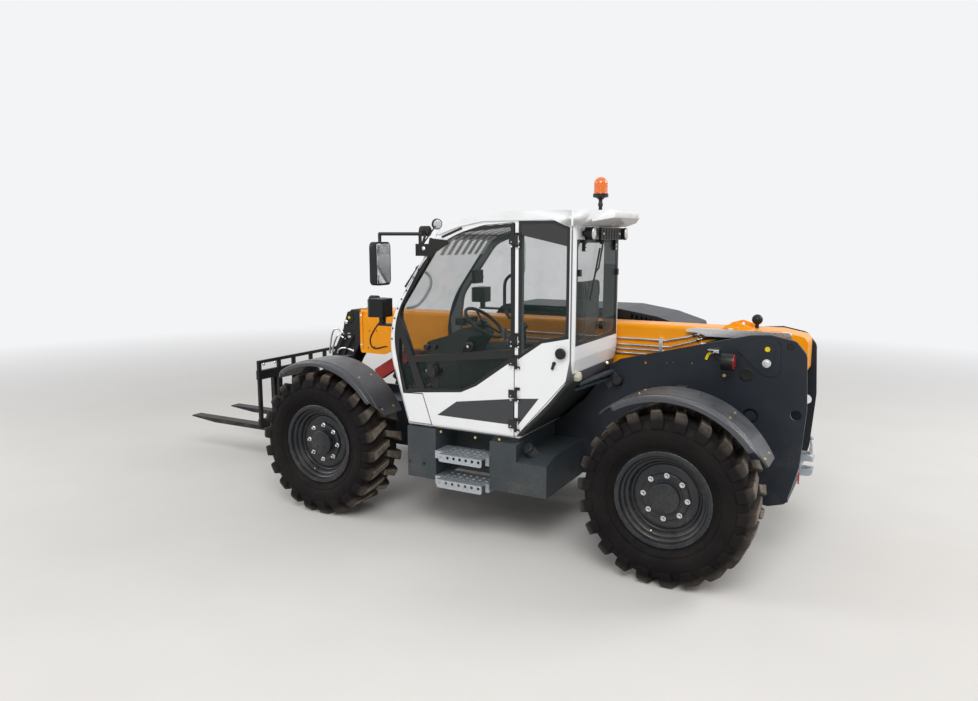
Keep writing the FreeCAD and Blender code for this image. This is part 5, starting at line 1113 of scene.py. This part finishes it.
def build_boom_parts():
    make("boom_lamp_lens", "lamp", [(dome, at(3215, 10, 1740), AHEAD, 0.051)], "boom")
    make("lug_bolt", "white", left_row(button, [(-188, 1650)], 48, 0.020, 0.010), "boom")
    fittings = []
    for x, z in FITTINGS:
        start = at(x, 72, z)
        fittings.append((hexagon, start, FITTING_AXIS, 0.032, 0.026))
        fittings.append((lathe, start + Vector((-0.024, 0, 0.008)), FITTING_AXIS, (
            (0, 0.012), (0.020, 0.012), (0.022, 0.009)), 20))
    fittings.append((lathe, at(40, 84, 1590), UP, (
        (0, 0.012), (0.012, 0.016), (0.030, 0.016), (0.044, 0.010), (0.044, 0)), 20))
    make("pipe_fittings", "chrome", fittings, "boom", bevel=0.001)
    for index, (x, z) in enumerate(HOSE_ENDS):
        pipe("boom_hose_%d" % index, route((
            (x, 72, z), (x - 50, 74, z + 16), (-150, 76 - index * 2, 1590 - index * 6),
            (-230, 66, 1590 - index * 12), (-300, 40, 1580 - index * 14), (-330, 0, 1570 - index * 14))),
             0.010, "hose", "boom")
    make("collar_bolts", "steel", [(bolt, at(*spot), LEFT, 0.009, 0.010) for spot in COLLAR_BOLTS], "boom")
    pipe("boom_cable", route(BOOM_CABLE), 0.008, "hose", "boom")
    make("wear_cover", "cream", [(block, at(3252, -215, 1664), at(3312, 55, 1669))], "boom", bevel=0.001)
    make("wear_bolts", "steel", [(bolt, at(3282, y, 1669), UP, 0.009, 0.010) for y in (30, -40, -120, -190)],
         "boom")


HEAD_RUNS = (
    # pipes and hoses on the head's left face
    ("chrome", ((3735, 28, 1190), (3722, 44, 1230), (3690, 46, 1400), (3640, 46, 1460), (3560, 46, 1425),
                (3545, 30, 1400))),
    ("chrome", ((3700, 28, 1180), (3690, 46, 1230), (3650, 48, 1330), (3610, 48, 1395), (3555, 46, 1370),
                (3530, 30, 1350))),
    ("hose", ((3620, 28, 1160), (3600, 46, 1240), (3560, 50, 1330), (3500, 52, 1400), (3440, 46, 1400),
              (3420, 30, 1360))),
    ("hose", ((3560, 28, 1150), (3520, 46, 1240), (3470, 52, 1300), (3430, 50, 1370), (3400, 30, 1420))),
    ("steel", ((3450, 28, 1240), (3490, 46, 1262), (3560, 48, 1262), (3610, 46, 1240), (3640, 28, 1200))),
)
HEAD_PIPES = (
    ("hose", ((3395, 1560), (3480, 1545), (3560, 1452), (3640, 1300), (3740, 1080))),
    ("chrome", ((3395, 1530), (3470, 1515), (3530, 1440), (3610, 1290), (3710, 1060))),
)
HEAD_HALF = 124
HEAD_PLATE_HALF = 111
PLATE_BOLTS = ((3395, 1350), (3440, 1240), (3560, 1130), (3690, 860))


def build_head_parts():
    body = "boom_extension"
    for way, name in BOTH_SIDES:
        outward = LEFT * way
        face = BOOM_MIDDLE + way * HEAD_HALF
        plate = BOOM_MIDDLE + way * HEAD_PLATE_HALF
        make("head_dot_" + name, "yellow", [(button, at(3464, face, 1568), outward, 0.014, 0.006)], body)
        make("head_bolt_" + name, "steel", [(bolt, at(3505, face, 1525), outward, 0.014, 0.010)], body)
        make("plate_bolts_" + name, "steel", [
            (bolt, at(x, plate, z), outward, 0.008, 0.008) for x, z in PLATE_BOLTS], body)
    for index, (look, run) in enumerate(HEAD_RUNS):
        pipe("head_run_%d" % index, route(run), 0.009, look, body)
    for index, (look, run) in enumerate(HEAD_PIPES):
        for way, name in BOTH_SIDES:
            y = BOOM_MIDDLE + way * (66 - index * 22)
            path = [at(x, y, z - 60) for x, z in run]
            pipe("head_pipe_%d_%s" % (index, name), path, 0.008, look, body)


# Engine side

FAN_BLADES = 9
# Turned parts of the engine: filter can, hub of the fan, and the two oil filters.
AIR_FILTER = ((0, 0.060), (0.01, 0.072), (0.20, 0.074), (0.21, 0.068), (0.34, 0.068), (0.36, 0.050), (0.36, 0))
FAN_HUB = ((0, 0.05), (0.03, 0.05), (0.035, 0.075), (0.06, 0.075), (0.07, 0.04), (0.07, 0))
OIL_FILTER = ((0, 0.030), (0.01, 0.046), (0.11, 0.046), (0.12, 0.030), (0.12, 0))
FUEL_FILTER = ((0, 0.030), (0.01, 0.042), (0.13, 0.042), (0.14, 0.030), (0.14, 0))


def pulley(radius):
    return ((0, radius), (0.006, radius), (0.012, radius * 0.88), (0.018, radius), (0.024, radius), (0.024, 0))


def build_engine():
    """Block, head, cover with fins, sump, gears' case, fan with its cowl, air and oil filters."""

    def engine_part(name, look, parts, bevel=0.0):
        make("engine_" + name, look, parts, bevel=bevel, instead="engine_block")

    core = [(prism, ((1010, 862), (1560, 862), (1600, 940), (1720, 940), (1720, 1215), (1010, 1215)), -850, -520)]
    core += [(block, at(x, -862, 960), at(x + 14, -508, 1200)) for x in range(1060, 1700, 80)]
    core += [
        (prism, ((1030, 1214), (1700, 1214), (1700, 1296), (1030, 1296)), -815, -555),
        (prism, ((962, 880), (1012, 880), (1012, 1180), (962, 1230)), -880, -480),
        (prism, ((1720, 900), (1752, 900), (1752, 1260), (1720, 1300)), -840, -530)]
    engine_part("core", "grey", core, 0.005)
    cover = [(prism, ((1050, 1295), (1690, 1295), (1680, 1352), (1060, 1352)), -780, -590)]
    cover += [(block, at(x, -770, 1350), at(x + 10, -600, 1362)) for x in range(1080, 1670, 36)]
    cover.append((lathe, at(1130, -850, 1330), AHEAD, AIR_FILTER, 36))
    engine_part("cover", "plastic", cover, 0.003)
    fan = []
    centre = at(1805, -680, 1150)
    for index in range(FAN_BLADES):
        turn = 2 * math.pi * index / FAN_BLADES
        tip = Vector((0, math.cos(turn), math.sin(turn)))
        fan.append((beam, centre + tip * 0.05, centre + tip * 0.200 + Vector((0.012, 0, 0)), 0.020, 0.070))
    fan.append((lathe, at(1760, -680, 1150), AHEAD, FAN_HUB))
    for y, z, radius in ((-680, 1150, 0.085), (-790, 1010, 0.045), (-590, 1290, 0.050)):
        fan.append((lathe, at(1753, y, z), AHEAD, pulley(radius), 36))
    engine_part("fan", "dark", fan, 0.001)
    cooler = [(block, at(1832, -925, 880), at(1858, -435, 1435))]
    cooler += [(block, at(1826, -915, z), at(1834, -445, z + 6)) for z in range(900, 1425, 20)]
    engine_part("cooler", "box", cooler, 0.001)
    engine_part("filters", "orange", [
        (lathe, at(1320, -505, 1010), (0, 0.2, -1), OIL_FILTER),
        (lathe, at(1460, -500, 1120), (0, 0.2, -1), FUEL_FILTER)])
    for index in range(4):
        x = 1120 + index * 150
        path = route(((x, -810, 1250), (x, -870, 1250), (x + 40, -890, 1200), (x + 60, -880, 1130)))
        pipe("engine_runner_%d" % index, path, 0.020, "steel", instead="engine_block")


VENT_Y = -1064
TANK_CAP = ((0, 0.048), (0.006, 0.048), (0.008, 0.042), (0.020, 0.042), (0.022, 0.036), (0.022, 0))
FILLER_CAP = ((-0.020, 0.043), (-0.001, 0.044), (0.002, 0.040), (0.002, 0))


def build_hood_parts():
    latches = []
    for x in (1000, 1760):
        latches.append((block, at(x, -1066, 930), at(x + 110, -1059, 990)))
        latches.append((strip, ((x + 20, 960), (x + 92, 960)), -1068, 0.008, 0.022))
    make("hood_latches", "plastic", latches, "hood", bevel=0.003)
    vent = [(block, at(1190, -1062, 1250), at(1630, -1058, 1450))]
    vent += [(strip, ((1190, z), (1630, z)), VENT_Y, 0.012, 0.011) for z in range(1266, 1446, 24)]
    vent += [(strip, ((x, 1238), (x, 1462)), VENT_Y, 0.016, 0.014) for x in (1184, 1636)]
    vent += [(strip, ((1184, z), (1636, z)), VENT_Y, 0.016, 0.014) for z in (1244, 1456)]
    make("hood_vent", "plastic", vent, "hood", bevel=0.002)
    make("hood_seams", "plastic", [(seam, ((x, 862), (x, 1560)), -HOOD_FACE) for x in (1060, 1840)], "hood",
         smooth=False)
    make("tank_cap", "plastic", [(lathe, at(1955, -1038, 700), (0, -1, 0), TANK_CAP, 36)])
    make("left_filler_cap", "plastic", [(lathe, at(1060, 985, 800), (30, 85, 85), FILLER_CAP, 12)], smooth=False)


def build_carriage_parts():
    make("carriage_bolts", "steel", [
        (bolt, at(4190, y, 1110), BACK, 0.010, 0.010) for y in (-650, -500, 340, 490)], "carriage")


# Stage, light and camera

BACKDROP = (0.90, 0.905, 0.92)
FLOOR = (0.72, 0.70, 0.67)
FLOOR_HALF = 60.0


def build_floor():
    """Pale floor that fades far off into the same pale surround."""
    mesh = bmesh.new()
    bmesh.ops.create_grid(mesh, x_segments=1, y_segments=1, size=FLOOR_HALF)
    data = bpy.data.meshes.new("floor")
    mesh.to_mesh(data)
    mesh.free()
    shader = Shader("floor_pale")
    shader.finish(shader.shade(FLOOR, shader.spread(0.97, 1.0, 1.5)), 0.9, shine=0.2)
    reach = shader.node("ShaderNodeVectorMath", shader.place, operation="LENGTH").outputs["Value"]
    seen = shader.node("ShaderNodeLightPath").outputs["Is Camera Ray"]
    far = shader.times(shader.range(reach, 5.5, 14.0), seen)
    glow = shader.node("ShaderNodeEmission", colour(BACKDROP), 1.0)
    blend = shader.node("ShaderNodeMixShader", far, shader.surface.outputs[0], glow.outputs[0])
    shader.feed(shader.output.inputs[0], blend.outputs[0])
    data.materials.append(shader.material)
    link("floor", data)


def build_surround():
    """Even surround, full where it is seen straight, through glass or in a gloss."""
    world = bpy.data.worlds.new("studio")
    bpy.context.scene.world = world
    world.use_nodes = True
    studio = Tree(world.node_tree)
    path = studio.node("ShaderNodeLightPath").outputs
    seen = studio.most(path["Is Camera Ray"], path["Is Transmission Ray"], path["Is Glossy Ray"])
    background = world.node_tree.nodes["Background"]
    studio.feed(background.inputs[0], colour(BACKDROP))
    studio.feed(background.inputs[1], studio.range(seen, 0.0, 1.0, 0.55, 1.0))


# Each lamp's place, the place it faces, the width of its square, and its power.
LAMPS = {
    "key": ((-4.0, 7.5, 8.0), (-0.5, 0.0, 1.0), 5.0, 560),
    "front": ((7.0, 5.0, 5.0), (0.0, 0.0, 1.0), 4.0, 220),
    "rear": ((-8.0, -4.0, 6.0), (0.0, 0.0, 1.0), 4.0, 350),
}
SENSOR = 36.0
# The fitted camera: focal length and picture width in pixels, its place and the way it looks.
FOCAL = 763.87
PICTURE_WIDTH = 978
CAMERA_PLACE = (-3.674, 5.980, 2.345)
CAMERA_WAY = (0.4714, -0.8698, -0.1459)


def aim(made, place, way):
    made.location = place
    made.rotation_euler = Vector(way).to_track_quat("-Z", "Y").to_euler()


def build_light():
    for name, (place, target, size, power) in LAMPS.items():
        data = bpy.data.lights.new(name, "AREA")
        data.size = size
        data.energy = power
        aim(link(name, data), place, Vector(target) - Vector(place))


def build_camera():
    data = bpy.data.cameras.new("view")
    data.sensor_width = SENSOR
    data.lens = FOCAL * SENSOR / PICTURE_WIDTH
    camera = link("view", data)
    aim(camera, CAMERA_PLACE, CAMERA_WAY)
    bpy.context.scene.camera = camera


def main():
    bpy.context.scene.view_settings.view_transform = "Standard"
    build_camera()
    build_floor()
    build_surround()
    build_light()
    dress_nodes()
    build_wheels()
    build_tower()
    build_cab_left()
    build_door_parts()
    build_rear_side()
    build_cab_back()
    build_front_glass()
    build_controls()
    build_seat()
    build_roof()
    build_beacon()
    build_lamps()
    build_boom_parts()
    build_head_parts()
    build_engine()
    build_hood_parts()
    build_carriage_parts()


main()
